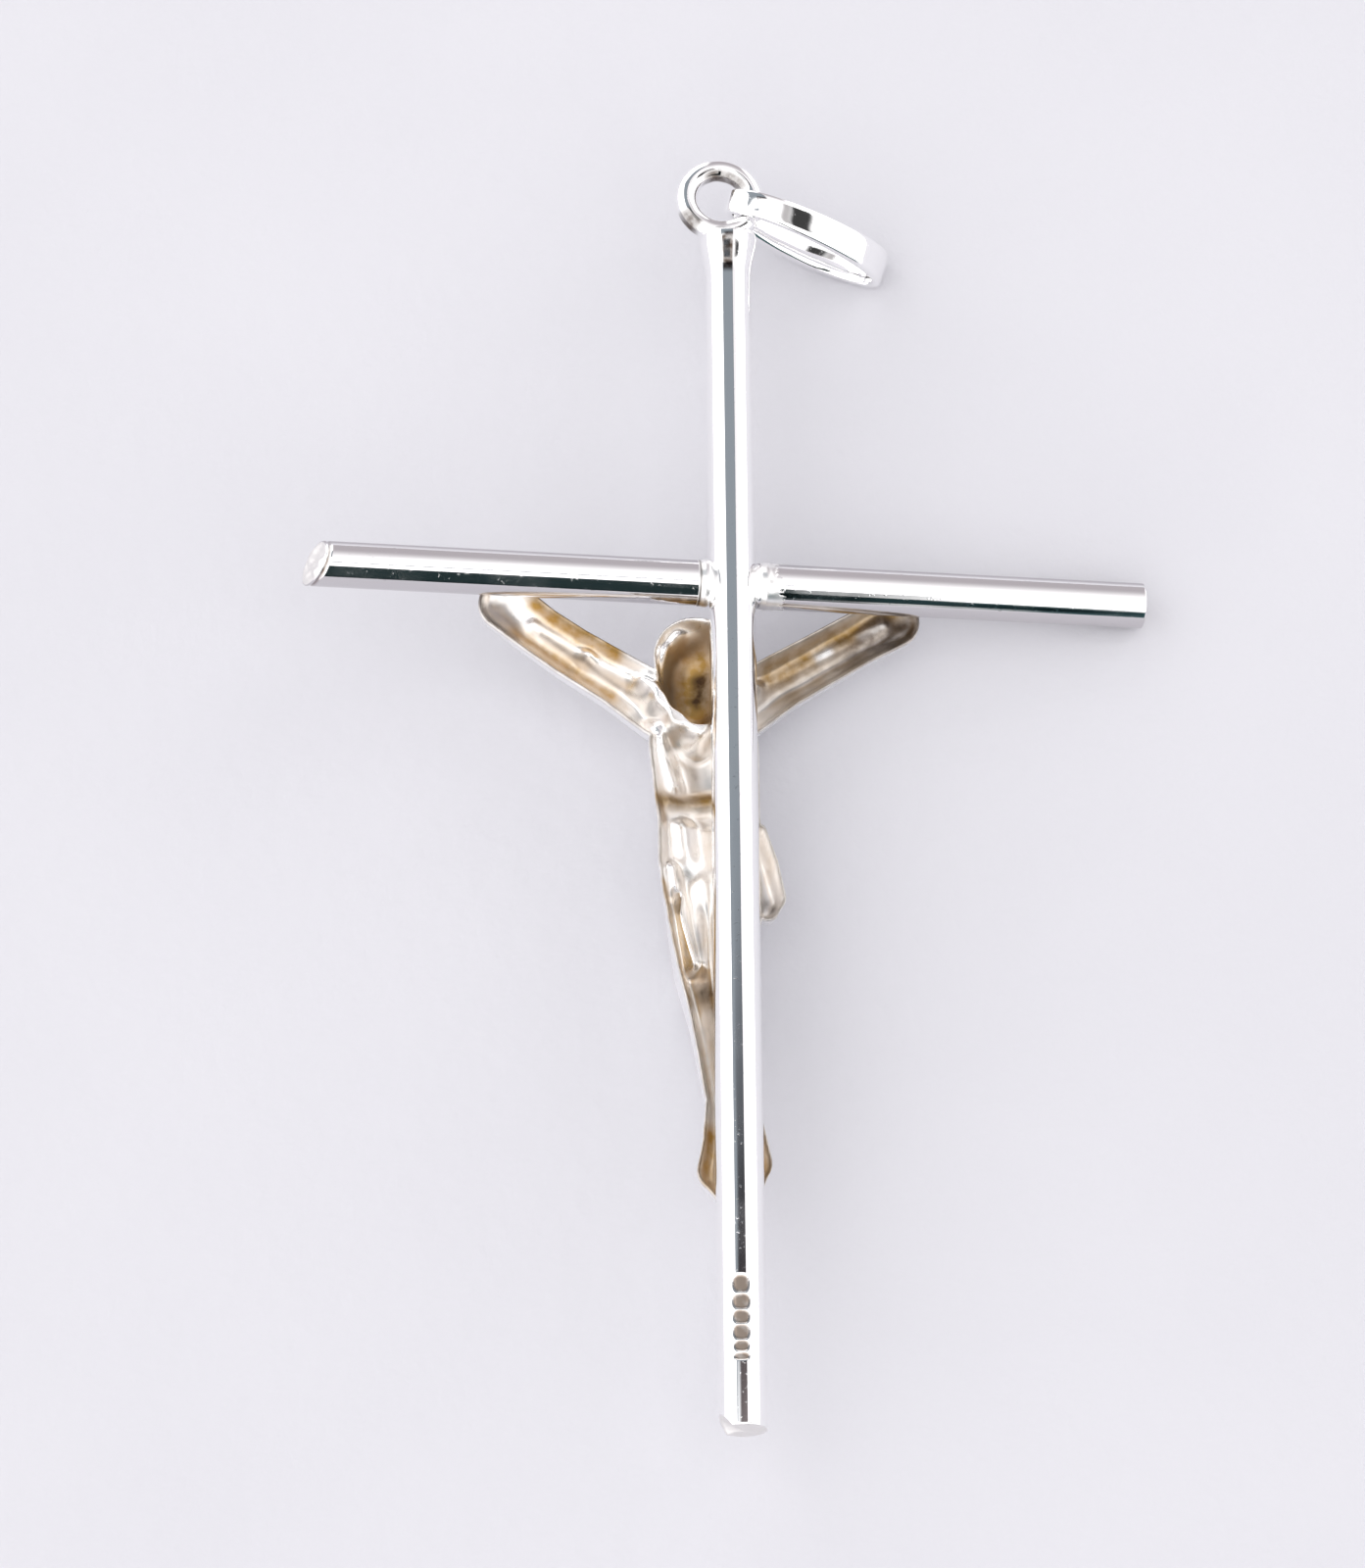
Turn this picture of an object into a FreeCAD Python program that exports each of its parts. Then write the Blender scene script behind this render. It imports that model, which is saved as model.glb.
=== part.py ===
"""Crucifix pendant of round rods, with a hollow-backed figure and an oval bail.

Everything is worked out in the frame of the cross, in millimetres: the origin is where the two
rods cross, X runs along the crossbar, Y up the upright towards the ring, and Z out of the back.
The finished pieces are then laid face down together, as the pendant rests by itself, with the
floor at Z = 0 and the origin under the middle of the whole pendant.
"""
import FreeCAD, Part
import math
import os
from collections import namedtuple

import Sketcher

Vector = FreeCAD.Vector
Rotation = FreeCAD.Rotation
Placement = FreeCAD.Placement

# Driving dimensions: alias, value in millimetres or degrees, meaning
SIZES = (
    ("rod_diameter", 1.8, "upright"),
    ("upright_below", 33.7, "crossing to the foot end"),
    ("upright_above", 14.9, "crossing to the ring end"),
    ("arm_length", 16.2, "crossing to the middle of each arm's end"),
    ("left_cut_angle", 28.0, "how far the left end's cut leans towards the back"),
    ("arm_diameter", 1.77, "arms, a little under the upright they are butted against"),
    ("collar_from_axis", 1.0, "upright's axis to the middle of each ring of solder"),
    ("collar_mean_radius", 0.81, "arm's axis to the middle of the solder's bead"),
    ("collar_bead_radius", 0.2, "the solder's bead"),
    ("smear_radius", 0.98, "solder run out along the right arm, at its thick end"),
    ("smear_root_radius", 0.84, "the same at its thin end, just inside the arm"),
    ("smear_length", 0.95, "the same, along the arm"),
    ("flare_radius", 1.12, "upright's end under the ring"),
    ("flare_root_radius", 0.84, "where the flare leaves the rod, just inside it"),
    ("flare_length", 1.7, "length of the flare"),
    ("ring_wire_radius", 0.435, "round wire of the top ring"),
    ("ring_mean_radius", 1.35, "axis of the ring to the middle of its wire"),
    ("ring_across", -0.3, "ring's centre, across the cross"),
    ("ring_up", 16.6, "ring's centre, above the crossing"),
    ("ring_solder_radius", 0.64, "ball of solder between ring and rod"),
    ("bail_length", 7.36, "outside, along the oval"),
    ("bail_height", 3.36, "outside, across the oval"),
    ("bail_wall", 0.38, "thickness of the band"),
    ("bail_width_ring_end", 1.0, "width of the band where it passes the ring"),
    ("bail_width_free_end", 1.35, "width of the band at its free end"),
    ("bail_edge_round", 0.1, "rounding of the band's edges"),
    ("bail_across", 3.33, "middle of the oval, across the cross"),
    ("bail_up", 15.81, "middle of the oval, above the crossing"),
    ("bail_back", -1.075, "middle of the oval, towards the back"),
    ("bail_turn", -11.65, "about Z, away from square to the upright"),
    ("bail_slope", 22.85, "about the turned Y, free end towards the front"),
    ("bail_lean", 11.2, "about the oval's long axis"),
    ("figure_gap", 0.05, "between the rods and the rim of the figure"),
    ("figure_wall", 0.3, "thickness of the figure's shell"),
    ("figure_across", 0.0, "feet of the figure, across the cross"),
    ("figure_down", 24.5, "feet of the figure, below the crossing"),
    ("figure_tilt", 3.2, "how far the figure leans off the upright"),
    ("figure_cell", 0.3, "grid of the figure's surfaces"),
    ("lie_roll", 12.21, "about Y, right arm end down to the floor"),
    ("lie_pitch", 0.095, "about X, until brow and knee both touch"),
)

# One row for each section of a limb. Across is to the right of the figure's midline seen from the
# back, up is from the tip of the toes, and relief is the height in front of the rim.
Section = namedtuple("Section", "limb across up half_width relief")
SECTIONS = (
    Section("head", -0.02, 21.80, 1.70, 3.2),
    Section("head", -0.10, 20.50, 1.58, 3.4),
    Section("head", -0.10, 19.65, 0.90, 3.1),
    Section("trunk", 0.0, 20.00, 1.90, 1.9),
    Section("trunk", 0.0, 18.20, 2.12, 2.45),
    Section("trunk", 0.0, 16.60, 2.04, 2.3),
    Section("trunk", 0.0, 15.20, 1.96, 1.9),
    Section("trunk", 0.0, 13.60, 2.05, 2.1),
    Section("trunk", 0.0, 12.40, 1.95, 2.2),
    Section("right_arm", 1.55, 19.80, 1.25, 1.9),
    Section("right_arm", 3.20, 20.85, 1.12, 1.7),
    Section("right_arm", 4.90, 21.80, 1.08, 1.5),
    Section("right_arm", 6.20, 22.55, 1.05, 1.3),
    Section("right_arm", 7.75, 23.35, 1.08, 0.9),
    Section("left_arm", -1.55, 19.80, 1.25, 1.9),
    Section("left_arm", -3.20, 20.98, 1.10, 1.7),
    Section("left_arm", -4.90, 22.10, 1.05, 1.5),
    Section("left_arm", -6.10, 23.00, 1.02, 1.3),
    Section("left_arm", -7.35, 24.08, 1.06, 0.9),
    Section("knot", 1.85, 14.60, 0.35, 1.3),
    Section("knot", 2.00, 13.30, 0.55, 1.3),
    Section("knot", 2.15, 11.95, 0.60, 1.0),
    Section("knot", 2.00, 11.45, 0.45, 0.8),
    Section("right_leg", 0.70, 13.00, 1.28, 2.3),
    Section("right_leg", 0.65, 11.20, 1.10, 2.7),
    Section("right_leg", 0.55, 9.70, 0.95, 2.9),
    Section("right_leg", 0.48, 7.20, 0.72, 2.3),
    Section("right_leg", 0.38, 4.60, 0.56, 1.8),
    Section("right_leg", 0.50, 2.80, 0.75, 1.7),
    Section("right_leg", 0.57, 1.55, 0.90, 1.8),
    Section("right_leg", 0.40, 0.75, 0.65, 1.2),
    Section("left_leg", -0.70, 13.00, 1.28, 2.4),
    Section("left_leg", -0.78, 11.20, 1.05, 3.0),
    Section("left_leg", -0.80, 9.50, 0.82, 3.4),
    Section("left_leg", -0.55, 7.20, 0.67, 2.5),
    Section("left_leg", -0.36, 3.90, 0.50, 1.5),
    Section("left_leg", -0.45, 2.30, 0.62, 1.6),
    Section("left_leg", -0.58, 1.10, 0.80, 1.4),
    Section("left_leg", -0.30, 0.40, 0.50, 0.8),
)
BLEND_POWER = 8
GRID_MARGIN = 0.6
NEAREST_CROSSING = 0.1

doc = FreeCAD.newDocument("crucifix_pendant")


def fill_sizes():
    """Put the driving dimensions into the sheet that every piece reads."""
    sheet = doc.addObject("Spreadsheet::Sheet", "Sizes")
    for row, (alias, value, meaning) in enumerate(SIZES, start=1):
        sheet.set(f"A{row}", alias)
        sheet.set(f"B{row}", str(value))
        sheet.set(f"C{row}", meaning)
        sheet.setAlias(f"B{row}", alias)
    return sheet


def fill_figure():
    """Put the figure's sections into a second sheet, one row for each."""
    sheet = doc.addObject("Spreadsheet::Sheet", "Figure")
    for column, heading in zip("ABCDE", Section._fields):
        sheet.set(f"{column}1", heading)
    for row, section in enumerate(SECTIONS, start=2):
        for column, value in zip("ABCDE", section):
            sheet.set(f"{column}{row}", str(value))
    return sheet


sizes = fill_sizes()
figure = fill_figure()
doc.recompute()


def origin_plane(body, role):
    """Give the origin plane of a body that has this role."""
    return next(feature for feature in body.Origin.OriginFeatures if feature.Role == role)


def attach(feature, body, role):
    """Lay a sketch or primitive on an origin plane of its own body."""
    feature.AttachmentSupport = [(origin_plane(body, role), "")]
    feature.MapMode = "FlatFace"


def bind(feature, **expressions):
    """Bind properties to the sheet. Two underscores in a name stand for a dot."""
    for name, expression in expressions.items():
        feature.setExpression(name.replace("__", "."), expression)


def rod_section(body, role, name, size):
    """Sketch the round section of a rod, centred on an origin plane."""
    sketch = body.newObject("Sketcher::SketchObject", name)
    attach(sketch, body, role)
    circle = sketch.addGeometry(Part.Circle(Vector(0, 0, 0), Vector(0, 0, 1), 1.0))
    sketch.addConstraint(Sketcher.Constraint("Coincident", circle, 3, -1, 1))
    diameter = sketch.addConstraint(Sketcher.Constraint("Diameter", circle, 2.0))
    sketch.setExpression(f"Constraints[{diameter}]", size)
    return sketch


def rod(body, sketch, name, forward, backward):
    """Pad a rod's section both ways from the crossing."""
    pad = body.newObject("PartDesign::Pad", name)
    pad.Profile = sketch
    pad.SideType = "Two sides"
    bind(pad, Length=forward, Length2=backward)
    return pad


def add_round(body, kind, name, role, **expressions):
    """Add a ring, cone or ball on an origin plane, its sizes bound to the sheet."""
    feature = body.newObject(f"PartDesign::Additive{kind}", name)
    attach(feature, body, role)
    bind(feature, **expressions)
    return feature


def make_cross():
    """Upright, crossbar, solder, flare and ring, all one piece of soldered metal."""
    body = doc.addObject("PartDesign::Body", "Cross")
    body.Label = "cross"
    upright = rod_section(body, "XZ_Plane", "UprightSection", "Sizes.rod_diameter")
    rod(body, upright, "Upright", "Sizes.upright_below", "Sizes.upright_above")
    crossbar = rod_section(body, "YZ_Plane", "CrossbarSection", "Sizes.arm_diameter")
    rod(body, crossbar, "Crossbar", "Sizes.arm_length", "Sizes.arm_length + Sizes.rod_diameter")

    cut = body.newObject("PartDesign::SubtractiveBox", "LeftEndCut")
    attach(cut, body, "XY_Plane")
    cut.AttachmentOffset = Placement(Vector(0, 0, 0), Rotation(Vector(0, 1, 0), 1.0))
    block = "3 * Sizes.rod_diameter"
    slant = "Sizes.left_cut_angle"
    bind(
        cut,
        Length=block,
        Width=block,
        Height=block,
        AttachmentOffset__Rotation__Angle=slant,
        AttachmentOffset__Base__x=f"-Sizes.arm_length - {block} * (cos({slant}) + sin({slant}) / 2)",
        AttachmentOffset__Base__y=f"-{block} / 2",
        AttachmentOffset__Base__z=f"{block} * (sin({slant}) - cos({slant}) / 2)",
    )

    for side, middle in (("Left", "-Sizes.collar_from_axis"), ("Right", "Sizes.collar_from_axis")):
        add_round(
            body, "Torus", f"{side}Collar", "YZ_Plane",
            AttachmentOffset__Base__z=middle,
            Radius1="Sizes.collar_mean_radius",
            Radius2="Sizes.collar_bead_radius",
        )
    add_round(
        body, "Cone", "RightSmear", "YZ_Plane",
        AttachmentOffset__Base__z="Sizes.collar_from_axis",
        Radius1="Sizes.smear_radius",
        Radius2="Sizes.smear_root_radius",
        Height="Sizes.smear_length",
    )
    add_round(
        body, "Cone", "RingEndFlare", "XZ_Plane",
        AttachmentOffset__Base__z="-Sizes.upright_above",
        Radius1="Sizes.flare_radius",
        Radius2="Sizes.flare_root_radius",
        Height="Sizes.flare_length",
    )
    add_round(
        body, "Sphere", "RingSolder", "XY_Plane",
        AttachmentOffset__Base__x="Sizes.ring_across / 2",
        AttachmentOffset__Base__y="Sizes.upright_above",
        Radius="Sizes.ring_solder_radius",
    )
    add_round(
        body, "Torus", "TopRing", "XY_Plane",
        AttachmentOffset__Base__x="Sizes.ring_across",
        AttachmentOffset__Base__y="Sizes.ring_up",
        Radius1="Sizes.ring_mean_radius",
        Radius2="Sizes.ring_wire_radius",
    )
    doc.recompute()
    return body


def oval(name, inset):
    """Extrude an oval block, its long axis along X, smaller all round by the inset."""
    outline = doc.addObject("Part::Ellipse", f"{name}Outline")
    bind(
        outline,
        MajorRadius=f"Sizes.bail_length / 2 - {inset}",
        MinorRadius=f"Sizes.bail_height / 2 - {inset}",
    )
    block = doc.addObject("Part::Extrusion", name)
    block.Base = outline
    block.DirMode = "Custom"
    block.Dir = Vector(0, 0, 1)
    block.Solid = True
    block.Symmetric = True
    bind(block, LengthFwd="Sizes.bail_width_free_end * 2")
    return block


def make_bail():
    """Closed oval band that narrows towards the ring, with rounded edges."""
    band = doc.addObject("Part::Cut", "BailBand")
    band.Base = oval("BailOutside", "0")
    band.Tool = oval("BailInside", "Sizes.bail_wall")
    taper = doc.addObject("Part::Wedge", "BailTaper")
    half_ring_end = "Sizes.bail_width_ring_end / 2"
    half_free_end = "Sizes.bail_width_free_end / 2"
    bind(
        taper,
        Ymin="-Sizes.bail_length / 2",
        Ymax="Sizes.bail_length / 2",
        Xmin="-Sizes.bail_height",
        Xmax="Sizes.bail_height",
        X2min="-Sizes.bail_height",
        X2max="Sizes.bail_height",
        Zmin=f"-{half_ring_end}",
        Zmax=half_ring_end,
        Z2min=f"-{half_free_end}",
        Z2max=half_free_end,
    )
    taper.Placement = Placement(Vector(0, 0, 0), Rotation(Vector(0, 0, 1), -90))
    tapered = doc.addObject("Part::Common", "BailTapered")
    tapered.Base = band
    tapered.Tool = taper
    doc.recompute()

    bail = doc.addObject("Part::Fillet", "Bail")
    bail.Label = "bail"
    bail.Base = tapered
    radius = float(sizes.bail_edge_round)
    bail.Edges = [
        (number, radius, radius)
        for number, edge in enumerate(tapered.Shape.Edges, start=1)
        if edge.Length > float(sizes.bail_height)
    ]
    bail.Placement = Placement(
        Vector(float(sizes.bail_across), float(sizes.bail_up), float(sizes.bail_back)),
        Rotation(Vector(0, 0, 1), float(sizes.bail_turn))
        * Rotation(Vector(0, 1, 0), float(sizes.bail_slope))
        * Rotation(Vector(1, 0, 0), 90.0 + float(sizes.bail_lean)),
    )
    return bail


def read_limbs():
    """Read the figure's sections back from their sheet, grouped by limb."""
    limbs = {}
    for row in range(2, len(SECTIONS) + 2):
        numbers = [float(figure.get(f"{column}{row}")) for column in "BCDE"]
        section = Section(figure.get(f"A{row}"), *numbers)
        limbs.setdefault(section.limb, []).append(section)
    return limbs


def along_limb(sections, across, up):
    """Give distance, half width and relief at the nearest place of each stretch of a limb."""
    for first, last in zip(sections, sections[1:]):
        run = (last.across - first.across, last.up - first.up)
        reach = (across - first.across, up - first.up)
        share = (run[0] * reach[0] + run[1] * reach[1]) / (run[0] ** 2 + run[1] ** 2)
        share = min(max(share, 0.0), 1.0)
        distance = math.hypot(reach[0] - share * run[0], reach[1] - share * run[1])
        half_width = first.half_width + share * (last.half_width - first.half_width)
        relief = first.relief + share * (last.relief - first.relief)
        yield distance, half_width, relief


def inside_outline(limbs, across, up):
    """Give how far a place lies inside the figure's outline, negative outside it."""
    return max(
        half_width - distance
        for sections in limbs.values()
        for distance, half_width, relief in along_limb(sections, across, up)
    )


def relief_height(limbs, across, up, inset):
    """Blend the limbs' half-elliptical humps, each narrowed by the inset all round."""
    total = 0.0
    for sections in limbs.values():
        highest = 0.0
        for distance, half_width, relief in along_limb(sections, across, up):
            half = half_width - inset
            if distance < half:
                highest = max(highest, relief * math.sqrt(1.0 - (distance / half) ** 2))
        total += highest ** BLEND_POWER
    return total ** (1.0 / BLEND_POWER)


def outline_grid(limbs, cell):
    """Cut the figure's outline into triangles on a grid, trimmed at the outline itself.

    Gives the places, the triangles, and the outline's edges with the inside on their left.
    """
    far = max(abs(s.across) + s.half_width for s in SECTIONS) + GRID_MARGIN
    low = min(s.up - s.half_width for s in SECTIONS) - GRID_MARGIN
    high = max(s.up + s.half_width for s in SECTIONS) + GRID_MARGIN
    columns = math.ceil(2 * far / cell)
    rows = math.ceil((high - low) / cell)
    margin = {
        (i, j): inside_outline(limbs, -far + i * cell, low + j * cell)
        for i in range(columns + 1)
        for j in range(rows + 1)
    }
    places = []
    numbers = {}

    def place(first, last):
        """Number a grid place, or the crossing of the outline between two of them."""
        key = (min(first, last), max(first, last))
        if key not in numbers:
            share = 0.0
            if first != last:
                share = margin[key[0]] / (margin[key[0]] - margin[key[1]])
                share = min(max(share, NEAREST_CROSSING), 1.0 - NEAREST_CROSSING)
            i = key[0][0] + share * (key[1][0] - key[0][0])
            j = key[0][1] + share * (key[1][1] - key[0][1])
            numbers[key] = len(places)
            places.append((-far + i * cell, low + j * cell))
        return numbers[key]

    triangles = []
    outline = []
    for i in range(columns):
        for j in range(rows):
            square = ((i, j), (i + 1, j), (i + 1, j + 1), (i, j + 1))
            for half in ((square[0], square[1], square[2]), (square[0], square[2], square[3])):
                polygon = []
                crossings = []
                for start, end in zip(half, half[1:] + half[:1]):
                    if margin[start] > 0:
                        polygon.append(place(start, start))
                    if (margin[start] > 0) != (margin[end] > 0):
                        polygon.append(place(start, end))
                        crossings.append((place(start, end), margin[start] > 0))
                for second, third in zip(polygon[1:], polygon[2:]):
                    triangles.append((polygon[0], second, third))
                if crossings:
                    leaving = next(number for number, leaves in crossings if leaves)
                    entering = next(number for number, leaves in crossings if not leaves)
                    outline.append((leaving, entering))
    return places, triangles, outline


def make_corpus():
    """Figure as a thin shell: a relief in front, the same relief hollowed out behind."""
    limbs = read_limbs()
    wall = float(sizes.figure_wall)
    places, triangles, outline = outline_grid(limbs, float(sizes.figure_cell))
    tilt = Rotation(Vector(0, 0, 1), float(sizes.figure_tilt))
    feet = Vector(float(sizes.figure_across), -float(sizes.figure_down), 0)
    rim = -float(sizes.rod_diameter) / 2 - float(sizes.figure_gap)
    on_outline = {number for edge in outline for number in edge}

    def point(number, height):
        across, up = places[number]
        return feet + tilt.multVec(Vector(across, up, 0)) + Vector(0, 0, rim - height)

    back = []
    front = []
    for number, (across, up) in enumerate(places):
        if number in on_outline:
            back.append(point(number, 0.0))
            front.append(point(number, wall))
        else:
            back.append(point(number, relief_height(limbs, across, up, wall)))
            front.append(point(number, wall + relief_height(limbs, across, up, 0.0)))
    ahead = len(places)
    facets = list(triangles)
    facets += [(ahead + a, ahead + c, ahead + b) for a, b, c in triangles]
    for a, b in outline:
        facets.append((a, ahead + a, ahead + b))
        facets.append((a, ahead + b, b))

    surface = Part.Shape()
    surface.makeShapeFromMesh((back + front, facets), 0.001)
    corpus = doc.addObject("Part::Feature", "Corpus")
    corpus.Label = "corpus"
    corpus.Shape = Part.makeSolid(Part.Shell(surface.Faces))
    return corpus


def lie_down(pieces):
    """Turn the pieces face down together and stand them on the floor, centred."""
    turn = Placement(
        Vector(0, 0, 0),
        Rotation(Vector(1, 0, 0), float(sizes.lie_pitch))
        * Rotation(Vector(0, 1, 0), float(sizes.lie_roll)),
    )
    for piece in pieces:
        piece.Placement = turn * piece.Placement
    doc.recompute()
    box = Part.makeCompound([piece.Shape for piece in pieces]).optimalBoundingBox(False, False)
    shift = Placement(Vector(-box.Center.x, -box.Center.y, -box.ZMin), Rotation())
    for piece in pieces:
        piece.Placement = shift * piece.Placement
    doc.recompute()


def check_document(pieces):
    """Stop if any object failed, or a piece is not one valid solid."""
    for item in doc.Objects:
        if {"Invalid", "Error"} & set(item.State):
            raise RuntimeError(f"{item.Name} failed: {item.State}")
    for piece in pieces:
        shape = piece.Shape
        if shape.isNull() or not shape.isValid() or len(shape.Solids) != 1 or shape.Volume <= 0:
            raise RuntimeError(f"{piece.Label} is not one valid solid")


pieces = [make_cross(), make_corpus(), make_bail()]
doc.recompute()
lie_down(pieces)
check_document(pieces)
os.makedirs("parts", exist_ok=True)
for piece in pieces:
    piece.Shape.exportStep(f"parts/{piece.Label}.step")
    box = piece.Shape.optimalBoundingBox(False, False)
    print(f"{piece.Label}: {piece.Shape.Volume:.2f} mm3, {len(piece.Shape.Faces)} faces, "
          f"lowest {box.ZMin:.3f}, size {box.XLength:.2f} x {box.YLength:.2f} x {box.ZLength:.2f}")
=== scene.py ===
"""Looks of the crucifix pendant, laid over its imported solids.

Shapes are worked out in the frame of the cross, in millimetres: the origin where the rods cross,
X along the crossbar, Y up the upright towards the ring, Z out of the back. lay_down() then brings
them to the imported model's own place, in metres.
"""
from collections import namedtuple

import bpy
import numpy as np
from bpy.props import FloatProperty, FloatVectorProperty, PointerProperty
from mathutils import Matrix


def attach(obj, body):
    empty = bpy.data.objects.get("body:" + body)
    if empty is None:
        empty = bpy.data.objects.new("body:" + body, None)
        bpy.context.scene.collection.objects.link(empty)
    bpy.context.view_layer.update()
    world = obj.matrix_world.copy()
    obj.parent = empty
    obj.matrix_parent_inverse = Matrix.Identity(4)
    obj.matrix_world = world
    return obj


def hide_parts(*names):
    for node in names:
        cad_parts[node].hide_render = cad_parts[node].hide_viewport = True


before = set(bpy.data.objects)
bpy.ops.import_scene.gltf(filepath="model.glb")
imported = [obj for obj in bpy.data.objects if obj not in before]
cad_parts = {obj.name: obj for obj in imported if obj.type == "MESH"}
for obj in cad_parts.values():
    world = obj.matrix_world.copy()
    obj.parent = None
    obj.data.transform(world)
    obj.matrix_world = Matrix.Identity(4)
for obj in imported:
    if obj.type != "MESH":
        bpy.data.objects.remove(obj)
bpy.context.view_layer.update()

bl_info = {
    "name": "Crucifix pendant",
    "version": (1, 0, 0),
    "blender": (4, 5, 0),
    "location": "3D View > Sidebar > Pendant",
    "description": "Rods, solder, ring, bail and hollow-backed figure of a crucifix pendant",
    "category": "Object",
}

MM = 0.001
BODY = "root"

# How the pendant lies: turns in degrees, and the crossing's place in millimetres
LIE_PITCH = 0.095
LIE_ROLL = 12.21
CROSSING = (0.22996, 7.65829, 4.30088)
# The figure's front is kept this far above the floor that it lies on, in millimetres
FLOOR_GAP = 0.02

# One row for each section of a limb: across and up from the toes, seen from the back
Section = namedtuple("Section", "limb across up half_width relief")
SECTIONS = (
    Section("head", -0.02, 21.80, 1.70, 3.2),
    Section("head", -0.10, 20.50, 1.58, 3.4),
    Section("head", -0.10, 19.65, 0.90, 3.1),
    Section("trunk", 0.0, 20.00, 1.90, 1.9),
    Section("trunk", 0.0, 18.20, 2.12, 2.45),
    Section("trunk", 0.0, 16.60, 2.04, 2.3),
    Section("trunk", 0.0, 15.20, 1.96, 1.9),
    Section("trunk", 0.0, 13.60, 2.05, 2.1),
    Section("trunk", 0.0, 12.40, 1.95, 2.2),
    Section("right_arm", 1.55, 19.80, 1.25, 1.9),
    Section("right_arm", 3.20, 20.85, 1.12, 1.7),
    Section("right_arm", 4.90, 21.80, 1.08, 1.5),
    Section("right_arm", 6.20, 22.55, 1.05, 1.3),
    Section("right_arm", 7.75, 23.35, 1.08, 0.9),
    Section("left_arm", -1.55, 19.80, 1.25, 1.9),
    Section("left_arm", -3.20, 20.98, 1.10, 1.7),
    Section("left_arm", -4.90, 22.10, 1.05, 1.5),
    Section("left_arm", -6.10, 23.00, 1.02, 1.3),
    Section("left_arm", -7.35, 24.08, 1.06, 0.9),
    Section("knot", 1.85, 14.60, 0.35, 1.3),
    Section("knot", 2.00, 13.30, 0.55, 1.3),
    Section("knot", 2.15, 11.95, 0.60, 1.0),
    Section("knot", 2.00, 11.45, 0.45, 0.8),
    Section("right_leg", 0.70, 13.00, 1.28, 2.3),
    Section("right_leg", 0.65, 11.20, 1.10, 2.7),
    Section("right_leg", 0.55, 9.70, 0.95, 2.9),
    Section("right_leg", 0.48, 7.20, 0.72, 2.3),
    Section("right_leg", 0.38, 4.60, 0.56, 1.8),
    Section("right_leg", 0.50, 2.80, 0.75, 1.7),
    Section("right_leg", 0.57, 1.40, 0.90, 1.8),
    Section("right_leg", 0.42, 0.52, 0.68, 1.2),
    Section("left_leg", -0.70, 13.00, 1.28, 2.4),
    Section("left_leg", -0.78, 11.20, 1.05, 3.0),
    Section("left_leg", -0.80, 9.50, 0.82, 3.4),
    Section("left_leg", -0.55, 7.20, 0.67, 2.5),
    Section("left_leg", -0.36, 3.90, 0.50, 1.5),
    Section("left_leg", -0.45, 2.30, 0.62, 1.6),
    Section("left_leg", -0.58, 1.10, 0.80, 1.4),
    Section("left_leg", -0.28, 0.25, 0.52, 0.8),
)
BLEND_POWER = 8
HUMP_POWER = 0.6
# Places round the small patch over which the hollow's depth is averaged, and its radius
PATCH_PLACES = 8
PATCH_RADIUS = 0.11

# Raised or sunk strokes on the figure: two ends, half width and rise, all in millimetres
Stroke = namedtuple("Stroke", "across up to_across to_up half_width rise")
HOLLOW_STROKES = (
    Stroke(-6.20, 23.45, -4.18, 22.13, 0.28, 0.30),
    Stroke(-4.18, 22.13, -2.14, 20.98, 0.30, 0.38),
    Stroke(-2.14, 20.98, -1.54, 20.16, 0.36, 0.80),
    Stroke(-1.54, 20.16, -0.91, 19.34, 0.36, 1.20),
    Stroke(-0.91, 19.34, -0.05, 18.85, 0.38, 1.30),
    Stroke(-0.05, 18.85, 0.95, 19.40, 0.38, 1.20),
    Stroke(0.95, 19.40, 2.20, 20.70, 0.36, 0.90),
    Stroke(-1.75, 19.30, -1.14, 16.90, 0.32, 0.55),
    Stroke(-1.50, 16.10, 1.50, 16.45, 0.34, 0.50),
    Stroke(-0.90, 15.10, -0.80, 13.60, 0.55, 0.35),
    Stroke(-1.45, 13.30, -1.20, 12.20, 0.30, 0.70),
    Stroke(-1.20, 12.20, -0.72, 9.90, 0.30, 0.85),
    Stroke(2.60, 20.90, 7.40, 23.40, 0.30, 0.30),
    Stroke(-1.60, 21.00, -1.35, 22.40, 0.34, 0.9),
    Stroke(-1.35, 22.40, -0.75, 23.10, 0.36, 1.1),
    Stroke(-0.75, 23.10, 0.20, 23.40, 0.36, 1.0),
)
# Nose, its wings, the lips with the line between them, and the beard's tip
FACE_STROKES = (
    Stroke(-0.06, 21.50, -0.06, 20.78, 0.17, 0.34),
    Stroke(-0.24, 20.74, 0.12, 20.74, 0.13, 0.14),
    Stroke(-0.28, 20.36, 0.16, 20.36, 0.08, 0.10),
    Stroke(-0.26, 20.27, 0.14, 20.27, 0.05, -0.12),
    Stroke(-0.22, 20.17, 0.10, 20.17, 0.09, 0.11),
    Stroke(-0.06, 19.80, -0.06, 19.20, 0.35, 0.16),
)
# One side's brow, eye socket, lid, lid's line and moustache: each is mirrored about the face's middle
FACE_MIDDLE = -0.06
PAIRED_STROKES = (
    Stroke(-0.80, 21.62, -0.24, 21.68, 0.15, 0.14),
    Stroke(-0.68, 21.30, -0.34, 21.30, 0.22, -0.20),
    Stroke(-0.64, 21.28, -0.38, 21.26, 0.11, 0.15),
    Stroke(-0.62, 21.18, -0.36, 21.16, 0.05, -0.07),
    Stroke(-0.45, 20.55, -0.60, 19.90, 0.16, 0.10),
)
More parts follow.
